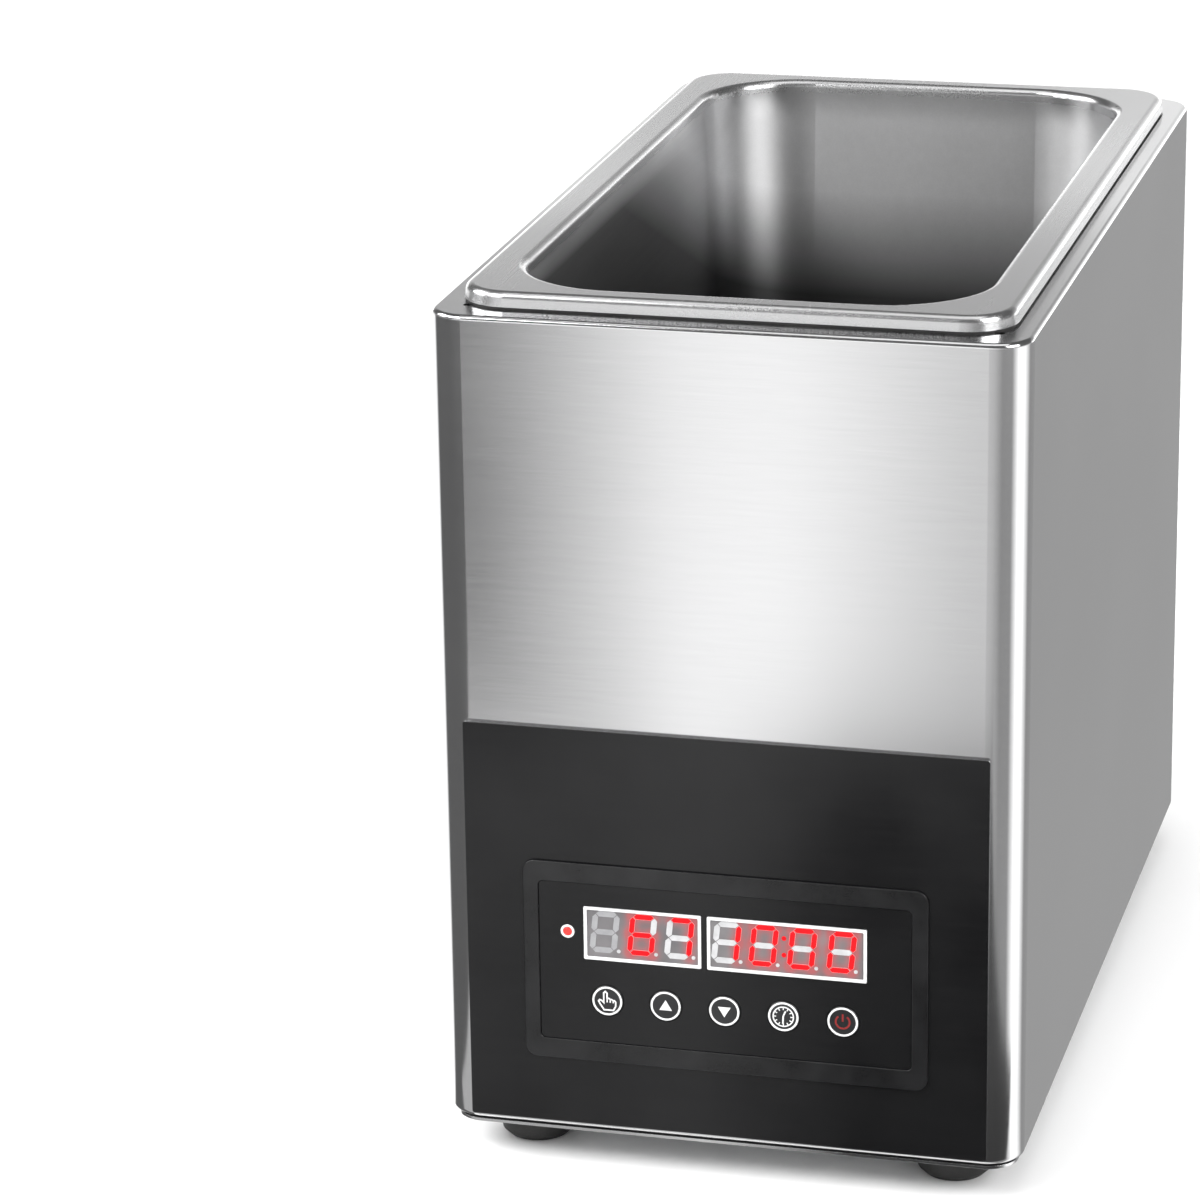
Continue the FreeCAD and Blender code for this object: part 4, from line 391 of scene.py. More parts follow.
def laminated_board(name):
    """Green circuit board with faint tracks under the coating."""
    material, tree, shader, place, skin = grained(name, moulded_skin())
    tracks = tree.add("ShaderNodeTexBrick", {
        "Vector": place["Object"], "Scale": 160.0, "Mortar Size": 0.06, "Brick Width": 1.7,
    })
    ground = tree.blend(skin["Cloud"], (0.012, 0.10, 0.035), (0.022, 0.16, 0.06))
    plug(
        tree, shader, Base_Color=tree.blend(tracks.outputs["Fac"], ground, (0.05, 0.27, 0.09)),
        Roughness=tree.spread(skin["Pebble"], 0.28, 0.4), Normal=tree.lift(tracks.outputs["Fac"], 2e-5),
    )
    return material


def layered(name, dark, light, direction, scale, roughness, metallic=0.0):
    """Stacked or braided stuff: bands across one axis, broken by noise."""
    material, tree, shader, place = new_material(name)
    bands = tree.add(
        "ShaderNodeTexWave", {"Vector": place["Object"], "Scale": scale, "Distortion": 1.5, "Detail": 2.0},
        bands_direction=direction,
    ).outputs["Fac"]
    plug(
        tree, shader, Base_Color=tree.blend(bands, dark, light), Metallic=metallic,
        Roughness=tree.spread(bands, *roughness), Normal=tree.lift(bands, 4e-5),
    )
    return material


def felted(name, dark, light):
    """Needled fibre blanket."""
    material, tree, shader, place = new_material(name)
    fibre = tree.noise(place["Object"], 900.0, 6.0, 0.7, 1.2)
    plug(
        tree, shader, Base_Color=tree.blend(fibre, dark, light),
        Roughness=tree.spread(fibre, 0.85, 1.0), Normal=tree.lift(fibre, 4e-4),
    )
    return material


def dress(material, *names):
    """Gives CAD nodes a finish."""
    for name in names:
        for holder in NODES[name].material_slots:
            holder.material = material


def finish(kind, name, dark, light, roughness, *nodes, **options):
    """Makes a brushed or moulded finish and gives it to CAD nodes."""
    material = kind(name, dark, light, *roughness, **options)
    dress(material, *nodes)
    return material


# ------------------------------------------------------------- meshes

def new_object(name, data):
    item = bpy.data.objects.new(name, data)
    bpy.context.scene.collection.objects.link(item)
    return item


def mesh_of(form, name):
    """Turns drawn geometry into a mesh."""
    mesh = bpy.data.meshes.new(name)
    form.to_mesh(mesh)
    form.free()
    return mesh


def make_piece(name, mesh, body, material=None):
    """Turns a mesh into a finished piece that rides on a body."""
    item = new_object(name, mesh)
    if material is not None:
        mesh.materials.clear()
        mesh.materials.append(material)
    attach(item, body)
    return item


def settle_modifiers(item, name):
    """Returns the mesh that an object's modifiers make, and removes the object."""
    depsgraph = bpy.context.evaluated_depsgraph_get()
    mesh = bpy.data.meshes.new_from_object(item.evaluated_get(depsgraph), depsgraph=depsgraph)
    source = item.data
    bpy.data.objects.remove(item)
    bpy.data.meshes.remove(source)
    mesh.name = name
    return mesh


def softened(node, width, material, name, body="cabinet", turns=2):
    """Stands for a CAD node with the same solid, its sharp edges rounded."""
    form = bmesh.new()
    form.from_mesh(NODES[node].data)
    bmesh.ops.remove_doubles(form, verts=form.verts, dist=WELD)
    bmesh.ops.dissolve_limit(
        form, angle_limit=FLAT_ANGLE, use_dissolve_boundaries=False, verts=form.verts, edges=form.edges,
    )
    mesh = mesh_of(form, name)
    item = new_object(name, mesh)
    bevel = item.modifiers.new("round", "BEVEL")
    bevel.width = width
    bevel.segments = turns
    bevel.limit_method = "ANGLE"
    bevel.angle_limit = SHARP_ANGLE
    bevel.use_clamp_overlap = True
    even = item.modifiers.new("flat faces", "WEIGHTED_NORMAL")
    even.weight = 100
    mesh.shade_smooth()
    piece = make_piece(name, settle_modifiers(item, name), body, material)
    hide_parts(node)


def middle_of(node):
    """The node's low and high corners and its middle."""
    low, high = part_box(node)
    return low, high, (low + high) / 2


def facing_front(node, front=None):
    """Places a drawing before a node: its X to the right, its Y up and its Z towards the viewer."""
    low, _, middle = middle_of(node)
    front = low.y if front is None else front
    return Matrix.Translation((middle.x, front, middle.z)) @ Matrix.Rotation(math.radians(90), 4, "X")


def facing_back(x, y, z):
    """Places a part whose Z is to point to the back."""
    return Matrix.Translation((x, y, z)) @ Matrix.Rotation(math.radians(-90), 4, "X")


def ribbon(form, points, width, thickness, closed=False):
    """Adds a flat stroke of even width along a line of points, as a thin solid."""
    points = [Vector(point) for point in points]
    count = len(points)
    rails = []
    for index, point in enumerate(points):
        before = points[index - 1] if closed or index else None
        after = points[(index + 1) % count] if closed or index < count - 1 else None
        ahead = (after - point).normalized() if after else (point - before).normalized()
        behind = (point - before).normalized() if before else ahead
        side = Vector((-(ahead + behind).y, (ahead + behind).x)).normalized()
        stretch = 1 / max(0.45, side.dot(Vector((-ahead.y, ahead.x))))
        rails.append((point + side * width / 2 * stretch, point - side * width / 2 * stretch))
    rings = []
    for left, right in rails:
        corners = [(left, 0), (right, 0), (right, thickness), (left, thickness)]
        rings.append([form.verts.new((place.x, place.y, height)) for place, height in corners])
    for index in range(count if closed else count - 1):
        here, there = rings[index], rings[(index + 1) % count]
        for corner in range(4):
            following = (corner + 1) % 4
            form.faces.new((here[corner], there[corner], there[following], here[following]))
    if not closed:
        form.faces.new(rings[0])
        form.faces.new(reversed(rings[-1]))


def plate(form, outline, thickness):
    """Adds a flat solid with the given outline, standing on z = 0."""
    low = [form.verts.new((x, y, 0)) for x, y in outline]
    high = [form.verts.new((x, y, thickness)) for x, y in outline]
    form.faces.new(reversed(low))
    form.faces.new(high)
    for index in range(len(outline)):
        following = (index + 1) % len(outline)
        form.faces.new((low[index], low[following], high[following], high[index]))


def arc_points(radius, start, end, count, closed=False):
    steps = count if closed else count - 1
    angles = [math.radians(start + (end - start) * index / steps) for index in range(count)]
    return [Vector((radius * math.cos(angle), radius * math.sin(angle))) for angle in angles]


def printed_ring(form, radius, width, thickness, count):
    ribbon(form, arc_points(radius, 0, 360, count, closed=True), width, thickness, closed=True)


def drawn_mesh(name, draw, place, *values):
    """Makes a mesh from drawing code and moves it into place."""
    form = bmesh.new()
    draw(form, *values)
    bmesh.ops.recalc_face_normals(form, faces=form.faces)
    mesh = mesh_of(form, name)
    mesh.transform(place)
    return mesh


# ------------------------------------------------------- geometry trees

def geometry_tree(name, sizes, build):
    """Makes a geometry node tree once, with a count or sizes by name and a material."""
    tree = bpy.data.node_groups.get(name)
    if tree:
        return tree
    tree = bpy.data.node_groups.new(name, "GeometryNodeTree")
    tree.interface.new_socket("Geometry", in_out="INPUT", socket_type="NodeSocketGeometry")
    for label in sizes:
        kind = "NodeSocketInt" if label == "Count" else "NodeSocketFloat"
        tree.interface.new_socket(label, in_out="INPUT", socket_type=kind)
    tree.interface.new_socket("Material", in_out="INPUT", socket_type="NodeSocketMaterial")
    tree.interface.new_socket("Geometry", in_out="OUTPUT", socket_type="NodeSocketGeometry")
    maker = Tree(tree)
    given = maker.add("NodeGroupInput").outputs
    grown = build(maker, given)
    finished = maker.add("GeometryNodeSetMaterial", {"Geometry": grown, "Material": given["Material"]})
    maker.add("NodeGroupOutput", {"Geometry": finished.outputs[0]})
    return tree


def grow(name, tree, base=None, **sizes):
    """Runs a geometry tree on a base mesh, or on none, and returns the plain mesh."""
    item = new_object(name, base or bpy.data.meshes.new("seed"))
    modifier = item.modifiers.new("grow", "NODES")
    modifier.node_group = tree
    labels = {entry.name: entry.identifier for entry in tree.interface.items_tree if entry.in_out == "INPUT"}
    for key, value in sizes.items():
        modifier[labels[key.replace("_", " ")]] = value
    return settle_modifiers(item, name)


def points_mesh(name, points, turns):
    mesh = bpy.data.meshes.new(name)
    mesh.from_pydata(points, [], [])
    attribute = mesh.attributes.new("turn", "FLOAT_VECTOR", "POINT")
    for index, turn in enumerate(turns):
        attribute.data[index].vector = turn
    return mesh


def placed(tree, points, shape, turn=None):
    """Copies of a shape on points, as real geometry."""
    inputs = {"Points": points, "Instance": shape}
    if turn is not None:
        inputs["Rotation"] = turn
    copies = tree.add("GeometryNodeInstanceOnPoints", inputs)
    return tree.add("GeometryNodeRealizeInstances", {"Geometry": copies.outputs[0]}).outputs[0]


def own_turn(tree):
    return tree.add("GeometryNodeInputNamedAttribute", {"Name": "turn"}, data_type="FLOAT_VECTOR").outputs[0]


def own_place(tree):
    return tree.split(tree.add("GeometryNodeInputPosition").outputs[0])


def vector(tree, **parts):
    return tree.add("ShaderNodeCombineXYZ", parts).outputs[0]


def segment_bank():
    """Pointed bars on points, turned by an attribute and slanted as a row."""
    def build(tree, given):
        ring = tree.add("GeometryNodeMeshCircle", {"Vertices": 6, "Radius": 1.0}, fill_type="NGON")
        at = own_place(tree)
        half_length = tree.maths("MULTIPLY", given["Length"], 0.5)
        half_width = tree.maths("MULTIPLY", given["Width"], 0.5)
        shoulder = tree.maths("SUBTRACT", half_length, half_width)
        along = tree.add("ShaderNodeMapRange", {
            "Value": tree.maths("ABSOLUTE", at["X"]), "From Min": 0.5, "From Max": 1.0,
            "To Min": shoulder, "To Max": half_length,
        })
        x = tree.maths("MULTIPLY", tree.maths("SIGN", at["X"]), along.outputs[0])
        y = tree.maths("MULTIPLY", at["Y"], tree.maths("DIVIDE", half_width, math.sin(math.radians(60))))
        shape = tree.add("GeometryNodeSetPosition", {
            "Geometry": ring.outputs[0], "Position": vector(tree, X=x, Y=y),
        })
        raised = tree.add("GeometryNodeExtrudeMesh", {
            "Mesh": shape.outputs[0], "Offset Scale": given["Thickness"], "Individual": False,
        })
        closed = tree.add("GeometryNodeJoinGeometry")
        flipped = tree.add("GeometryNodeFlipFaces", {"Mesh": shape.outputs[0]})
        for part in (raised.outputs["Mesh"], flipped.outputs[0]):
            tree.tree.links.new(part, closed.inputs[0])
        whole = tree.add("GeometryNodeMergeByDistance", {"Geometry": closed.outputs[0], "Distance": 1e-7})
        real = placed(tree, given["Geometry"], whole.outputs[0], own_turn(tree))
        above = tree.maths("SUBTRACT", own_place(tree)["Z"], given["Row"])
        shift = vector(tree, X=tree.maths("MULTIPLY", above, given["Slant"]))
        return tree.add("GeometryNodeSetPosition", {"Geometry": real, "Offset": shift}).outputs[0]
    return geometry_tree("Segment bank", ("Length", "Width", "Thickness", "Row", "Slant"), build)


def dot_bank():
    """Small round studs on points, facing along +Z."""
    def build(tree, given):
        stud = tree.add("GeometryNodeMeshCylinder", {
            "Vertices": 20, "Radius": given["Radius"], "Depth": given["Thickness"],
        })
        return placed(tree, given["Geometry"], stud.outputs["Mesh"], own_turn(tree))
    return geometry_tree("Dot bank", ("Radius", "Thickness"), build)


def rib_ring():
    """Blocks set round a circle in the XY plane, each turned to the middle."""
    def build(tree, given):
        ring = tree.add("GeometryNodeMeshCircle", {"Vertices": given["Count"], "Radius": given["Radius"]})
        size = vector(tree, X=given["Reach"], Y=given["Width"], Z=given["Height"])
        block = tree.add("GeometryNodeMeshCube", {"Size": size})
        at = own_place(tree)
        turn = vector(tree, Z=tree.maths("ARCTAN2", at["Y"], at["X"]))
        return placed(tree, ring.outputs[0], block.outputs[0], turn)
    return geometry_tree("Rib ring", ("Count", "Radius", "Reach", "Width", "Height"), build)


def thread_stack():
    """Round thread crests stacked along Z at a pitch."""
    def build(tree, given):
        path = tree.add("GeometryNodeCurvePrimitiveCircle", {"Resolution": 48, "Radius": given["Radius"]})
        crest = tree.add("GeometryNodeCurvePrimitiveCircle", {"Resolution": 8, "Radius": given["Crest"]})
        ring = tree.add("GeometryNodeCurveToMesh", {
            "Curve": path.outputs[0], "Profile Curve": crest.outputs[0],
        })
        step = vector(tree, Z=given["Pitch"])
        line = tree.add("GeometryNodeMeshLine", {"Count": given["Count"], "Offset": step})
        return placed(tree, line.outputs[0], ring.outputs[0])
    return geometry_tree("Thread stack", ("Count", "Radius", "Crest", "Pitch"), build)


# ------------------------------------------------------------ the digits

SEGMENTS = {
    "a": (0, 1, False),
    "b": (1, 0.5, True),
    "c": (1, -0.5, True),
    "d": (0, -1, False),
    "e": (-1, -0.5, True),
    "f": (-1, 0.5, True),
    "g": (0, 0, False),
}
LIT = {
    " ": "", "0": "abcdef", "1": "bc", "2": "abged", "3": "abgcd", "4": "fgbc",
    "5": "afgcd", "6": "afgedc", "7": "abc", "8": "abcdefg", "9": "abcdfg",
}
SLANT = math.tan(math.radians(6.0))
FLAT, UPRIGHT = (math.radians(90), 0, 0), (math.radians(90), math.radians(90), 0)


# The face inside its wall, and the size of its cells
WALL, RECESS, SINK, CELL = 1.0 * MM, 0.5 * MM, 0.05 * MM, 0.5 * MM
# The digits' row above the middle, the gap at a segment's ends, and the reach of its light
ROW_RISE, GAP, HALO_REACH, HALO_LEVEL = 0.7 * MM, 0.32 * MM, 1.9 * MM, 0.85
# Decimal point beside a digit, and the two spots of the colon
POINT_ASIDE, POINT_DROP, POINT_RADIUS = 5.2 * MM, 0.1 * MM, 0.62 * MM
COLON_RISE, COLON_SPREAD, COLON_RADIUS = 0.2 * MM, 2.85 * MM, 0.8 * MM
INK_DEPTH = 0.1 * MM
# For each state the layers of a segment: label, depth, share of the width, ink
LAYERS = {
    "lit": (("window", INK_DEPTH, 1.0, "window_lit"), ("core", 0.14 * MM, 0.9, "core")),
    "unlit": (("window", INK_DEPTH, 1.0, "window"),),
    "blank": (("window", INK_DEPTH, 1.0, "window_off"),),
}


def sort_bars(look, reading, centres, row):
    """Sorts the segments of a reading into lit, unlit and blank ones, each with its place."""
    bars = {"lit": [], "unlit": [], "blank": []}
    for centre, sign in zip(centres, reading.replace(":", "")):
        for key, (side, level, upright) in SEGMENTS.items():
            place = Vector((centre + side * look.digit_width / 2, 0, row + level * look.digit_height / 2))
            state = "blank" if sign == " " else "lit" if key in LIT[sign] else "unlit"
            bars[state].append((place, upright))
    return bars


def digit_face(node, face_y, halo, ink):
    """The grey face inside a module's wall, with the light of the lit segments on it."""
    low, high, middle = middle_of(node)
    form = bmesh.new()
    width, height = high.x - low.x - WALL * 2, high.z - low.z - WALL * 2
    bmesh.ops.create_grid(form, x_segments=int(width / CELL), y_segments=int(height / CELL), size=0.5)
    layer = form.verts.layers.float.new("glow")
    for vertex in form.verts:
        vertex.co = Vector((middle.x + vertex.co.x * width, face_y - SINK, middle.z + vertex.co.y * height))
        vertex[layer] = halo(Vector((vertex.co.x, 0, vertex.co.z)))
    for face in form.faces:
        if face.normal.dot(OUTWARD) < 0:
            face.normal_flip()
    make_piece(node + "_face", mesh_of(form, node + "_face"), "cabinet", ink)


def dots(name, spots, radius, ink):
    """Round studs on the face of a module."""
    base = points_mesh("spots", spots, [FLAT] * len(spots))
    mesh = grow(name, dot_bank(), base, Radius=radius, Thickness=INK_DEPTH, Material=ink)
    make_piece(name, mesh, "cabinet")


def digit_module(look, inks, node, reading, offsets, colon=None):
    """Face, segments and points of one digit module."""
    low, _, middle = middle_of(node)
    row, face_y = middle.z + ROW_RISE, low.y + RECESS
    half_height, half_width = look.digit_height / 2, look.digit_width / 2
    centres = [middle.x + offset * MM for offset in offsets]
    bars = sort_bars(look, reading, centres, row)

    def halo(place):
        reach = 0.0
        for centre, upright in bars["lit"]:
            apart = place - (centre + Vector(((centre.z - row) * SLANT, 0, 0)))
            along, across = (apart.z, apart.x) if upright else (apart.x, apart.z)
            along = max(0.0, abs(along) - half_width)
            reach += math.exp(-(along ** 2 + across ** 2) / HALO_REACH ** 2)
        return min(1.0, HALO_LEVEL * reach)

    digit_face(node, face_y, halo, inks["face"])
    for state, group in bars.items():
        for label, depth, narrow, ink in LAYERS[state]:
            for upright in (True, False):
                spots = [(place.x, face_y - SINK, place.z) for place, stands in group if stands == upright]
                if not spots:
                    continue
                span = (half_height if upright else look.digit_width) - GAP
                name = "_".join((node, label, state, "upright" if upright else "level"))
                mesh = grow(
                    name, segment_bank(), points_mesh("spots", spots, [UPRIGHT if upright else FLAT] * len(spots)),
                    Length=span - look.segment_width * (1 - narrow), Width=look.segment_width * narrow,
                    Thickness=depth, Row=row, Slant=SLANT, Material=inks[ink],
                )
                make_piece(name, mesh, "cabinet")
    drop = -half_height - POINT_DROP
    points = [(centre + POINT_ASIDE + drop * SLANT, face_y - INK_DEPTH, row + drop) for centre in centres]
    dots(node + "_points", points, POINT_RADIUS, inks["window"])
    if colon is not None:
        heights = [row + COLON_RISE + side * COLON_SPREAD for side in (1, -1)]
        spots = [(middle.x + colon * MM, face_y - INK_DEPTH, height) for height in heights]
        dots(node + "_colon", spots, COLON_RADIUS, inks["core"])


# ----------------------------------------------------------- the symbols

HAND = (
    (-1.1, -3.1), (-2.3, -1.3), (-2.9, -0.2), (-2.5, 0.3), (-1.8, 0.0), (-1.15, -0.7),
    (-1.15, 2.7), (-0.6, 3.25), (-0.05, 2.7), (-0.05, 0.75), (0.45, 1.0), (0.95, 0.7),
    (1.0, 0.45), (1.5, 0.6), (1.95, 0.25), (2.4, 0.3), (2.8, -0.2), (2.75, -1.7), (2.0, -3.1),
)
KNUCKLES = (((-0.05, 0.75), (-0.05, -0.5)), ((0.97, 0.6), (0.97, -0.5)), ((1.97, 0.25), (1.97, -0.6)))
PRINT = 0.03 * MM


def scaled(points):
    return [Vector(point) * MM for point in points]


def draw_hand(form):
    ribbon(form, scaled(HAND), 0.5 * MM, PRINT, closed=True)
    for line in KNUCKLES:
        ribbon(form, scaled(line), 0.4 * MM, PRINT)


def draw_up(form):
    plate(form, scaled([(-2.1, -1.45), (2.1, -1.45), (0, 2.05)]), PRINT)


def draw_down(form):
    plate(form, scaled([(-2.1, 1.45), (0, -2.05), (2.1, 1.45)]), PRINT)


def draw_clock(form):
    printed_ring(form, 3.3 * MM, 0.42 * MM, PRINT, 48)
    ribbon(form, scaled([(-0.15, -2.4), (-0.05, 0.1), (0.75, 1.95)]), 0.5 * MM, PRINT)


def draw_power(form):
    ribbon(form, arc_points(2.25 * MM, 128, 412, 40), 0.6 * MM, PRINT)
    ribbon(form, scaled([(0, 0.1), (0, 2.7)]), 0.6 * MM, PRINT)


SYMBOLS = {
    "set_key": draw_hand, "plus_key": draw_up, "minus_key": draw_down,
    "clock_key": draw_clock, "power_key": draw_power,
}
# Rings round the keys and the lamp: radius or gap, width of the line, and number of sides
KEY_RING = (4.62 * MM, 0.66 * MM, PRINT, 64)
LAMP_GAP, LAMP_RING = 0.3 * MM, (0.75 * MM, PRINT * 2, 40)


# -------------------------------------------------------------- operators

class Maker(bpy.types.Operator):
    """Base of the operators that make the pieces."""

    bl_options = {"REGISTER", "UNDO"}


class BOILER_OT_case(Maker):
    """Finish the case: wrapped sheet, rear panel, base plate, feet and fasteners"""

    bl_idname = "boiler.case"
    bl_label = "Case"

    def execute(self, context):
        steel = context.scene.boiler_steel
        sheet_metal = finish(
            brushed, "case_sheet", steel.case_dark, steel.case_light, (steel.case_gloss, steel.case_satin),
            "housing_shell", "control_cover",
            scale=3000.0, cloud=9.0, depth=0.12e-6, Anisotropic=0.8, Anisotropic_Rotation=0.25,
        )
        softened("rear_panel", 0.2 * MM, sheet_metal, "rear_cover")
        softened("base_plate", 0.25 * MM, sheet_metal, "base_sheet")
        finish(
            moulded, "foot_rubber", (0.012, 0.012, 0.012), (0.030, 0.029, 0.028), (0.55, 0.8),
            "feet", "base_gasket", scale=1600.0, depth=2e-5,
        )
        finish(
            brushed, "machined_steel", (0.58, 0.58, 0.59), (0.70, 0.70, 0.71), (0.13, 0.26),
            "case_screws", "case_nuts", "foot_screws", "board_screws", "panel_nuts", "floor_nuts",
            "board_spacers", "element_bushes", "drain_spud", "lever_nut", "bulb_clips", scale=5200.0, cloud=160.0,
        )
        return {"FINISHED"}


class BOILER_OT_tank(Maker):
    """Finish the tank: drawn pan, guard plate, element, probe and jacket"""

    bl_idname = "boiler.tank"
    bl_label = "Tank"

    def execute(self, context):
        steel = context.scene.boiler_steel
        # The drawn pan's colour carries painted shade deep inside and towards the front
        finish(
            brushed, "drawn_pan", tinted(steel.case_dark, 0.94), steel.case_light,
            (steel.pan_gloss, steel.pan_satin), "tank_pan",
            turn=(0, 0, math.radians(90)), scale=1900.0, cloud=14.0, depth=0.015e-6,
            dull=steel.pan_dull, stain=steel.pan_painted_shade, Anisotropic=0.75, Anisotropic_Rotation=0.25,
        )
        finish(
            brushed, "guard_sheet", (0.55, 0.55, 0.555), (0.64, 0.64, 0.645), (0.26, 0.42),
            "guard_plate", scale=2400.0, cloud=22.0, depth=0.8e-6,
        )
        finish(
            brushed, "element_sheath", (0.20, 0.18, 0.165), (0.36, 0.34, 0.32), (0.32, 0.52),
            "heating_element", "temperature_probe", "drain_pipe", scale=1500.0, cloud=40.0, depth=2e-6,
        )
        finish(moulded, "gasket_rubber", (0.016, 0.016, 0.016), (0.035, 0.034, 0.033), (0.6, 0.8), "flange_gasket")
        finish(moulded, "red_silicone", (0.42, 0.07, 0.045), (0.55, 0.12, 0.08), (0.4, 0.6), "floor_seals")
        dress(felted("fibre_blanket", (0.46, 0.44, 0.39), (0.80, 0.78, 0.72)), "insulation_jacket")
        return {"FINISHED"}


class BOILER_OT_panel(Maker):
    """Finish the control module: black plate, raised bezel and overlay"""

    bl_idname = "boiler.panel"
    bl_label = "Front panel"

    def execute(self, context):
        panel = context.scene.boiler_panel
        softened("front_panel", panel.edge_round, film_black("panel_film", panel, True), "black_plate")
        bezel = moulded(
            "bezel_plastic", (0.004, 0.004, 0.0045), (0.011, 0.011, 0.012), 0.24, 0.36, scale=2600.0, depth=3e-6,
        )
        softened("control_bezel", 0.3 * MM, bezel, "raised_bezel", turns=3)
        softened("control_overlay", 0.12 * MM, film_black("overlay_film", panel, False), "inner_overlay")
        return {"FINISHED"}


class BOILER_OT_displays(Maker):
    """Make the digit modules: white housings, grey faces and segments"""

    bl_idname = "boiler.displays"
    bl_label = "Displays"

    def execute(self, context):
        look = context.scene.boiler_display
        housing = moulded("display_housing", (0.74, 0.74, 0.745), (0.88, 0.88, 0.88), 0.3, 0.45, cloud=120.0)
        inks = {
            "face": glowing_face("display_face"),
            # Unlit segment windows and points: a faint painted glow of 0.03, as no lamp lights them
            "window": lit_plastic("segment_window", (0.56, 0.56, 0.57), 0.03),
            "window_off": lit_plastic("segment_window_off", (0.34, 0.34, 0.35), 0.0),
            "window_lit": lit_plastic("segment_window_lit", (0.80, 0.40, 0.41), 0.1),
            "core": lit_plastic("segment_core", tuple(look.lit), look.glow, (0.4, 0.5), Specular_IOR_Level=0.12),
        }
        softened("temperature_display", 0.12 * MM, housing, "temperature_housing")
        softened("timer_display", 0.12 * MM, housing, "timer_housing")
        digit_module(look, inks, "temperature_display", look.temperature, (-12.4, -0.1, 12.2))
        digit_module(look, inks, "timer_display", look.time, (-19.6, -7.5, 5.0, 17.8), -0.9)
        return {"FINISHED"}


class BOILER_OT_lamp(Maker):
    """Make the heating lamp and the ring printed round it"""

    bl_idname = "boiler.lamp"
    bl_label = "Heating lamp"

    def execute(self, context):
        panel = context.scene.boiler_panel
        dress(lit_plastic("lamp_lens", (0.72, 0.035, 0.03), 0.5, (0.2, 0.3), Specular_IOR_Level=0.3), "heating_lamp")
        low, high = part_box("heating_lamp")
        place = facing_front("heating_lamp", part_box("control_overlay")[0].y)
        ink = lit_plastic("lamp_ring_ink", tuple(panel.print_white), 0.0)
        mesh = drawn_mesh("lamp_ring", printed_ring, place, (high.x - low.x) / 2 + LAMP_GAP, *LAMP_RING)
        make_piece("lamp_ring", mesh, "cabinet", ink)
        return {"FINISHED"}


class BOILER_OT_keys(Maker):
    """Make the five keys' printed rings and symbols"""

    bl_idname = "boiler.keys"
    bl_label = "Keys"

    def execute(self, context):
        panel = context.scene.boiler_panel
        finish(
            moulded, "key_cap", (0.010, 0.010, 0.011), (0.022, 0.022, 0.024), (0.3, 0.44), *SYMBOLS,
            scale=2600.0, depth=4e-6,
        )
        white = lit_plastic("key_print_white", tuple(panel.print_white), 0.0)
        red = lit_plastic("key_print_red", tuple(panel.print_red), 0.08)
        for key, draw in SYMBOLS.items():
            place = facing_front(key)
            mesh = drawn_mesh(key + "_ring", printed_ring, place, *KEY_RING)
            make_piece(key + "_ring", mesh, key + "_body", white)
            mesh = drawn_mesh(key + "_symbol", draw, place)
            make_piece(key + "_symbol", mesh, key + "_body", red if key == "power_key" else white)
        ticks = grow(
            "clock_ticks", rib_ring(), Count=12, Radius=2.7 * MM,
            Reach=0.75 * MM, Width=0.34 * MM, Height=PRINT, Material=white,
        )
        ticks.transform(facing_front("clock_key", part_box("clock_key")[0].y - PRINT / 2))
        make_piece("clock_ticks", ticks, "clock_key_body")
        return {"FINISHED"}


class BOILER_OT_drain_valve(Maker):
    """Finish the drain valve: plated body, ball, lever and dipped grip"""

    bl_idname = "boiler.drain_valve"
    bl_label = "Drain valve"

    def execute(self, context):
        finish(
            brushed, "nickel_plate", (0.50, 0.47, 0.41), (0.62, 0.59, 0.52), (0.2, 0.36),
            "valve_body", "valve_end", "packing_nut", "valve_stem", scale=2600.0, cloud=90.0, depth=2e-6,
        )
        finish(brushed, "polished_ball", (0.70, 0.70, 0.72), (0.8, 0.8, 0.82), (0.05, 0.12), "valve_ball")
        finish(moulded, "seat_ptfe", (0.78, 0.78, 0.76), (0.88, 0.88, 0.86), (0.35, 0.5), "valve_seats")
        lever = brushed("lever_strip", (0.56, 0.56, 0.57), (0.68, 0.68, 0.69), 0.2, 0.34, scale=3200.0, cloud=60.0)
        softened("valve_lever", 0.3 * MM, lever, "lever_strip", body="drain_lever_body")
        finish(
            moulded, "dipped_vinyl", (0.34, 0.012, 0.012), (0.48, 0.03, 0.025), (0.42, 0.58), "lever_grip", depth=3e-5,
        )
        return {"FINISHED"}


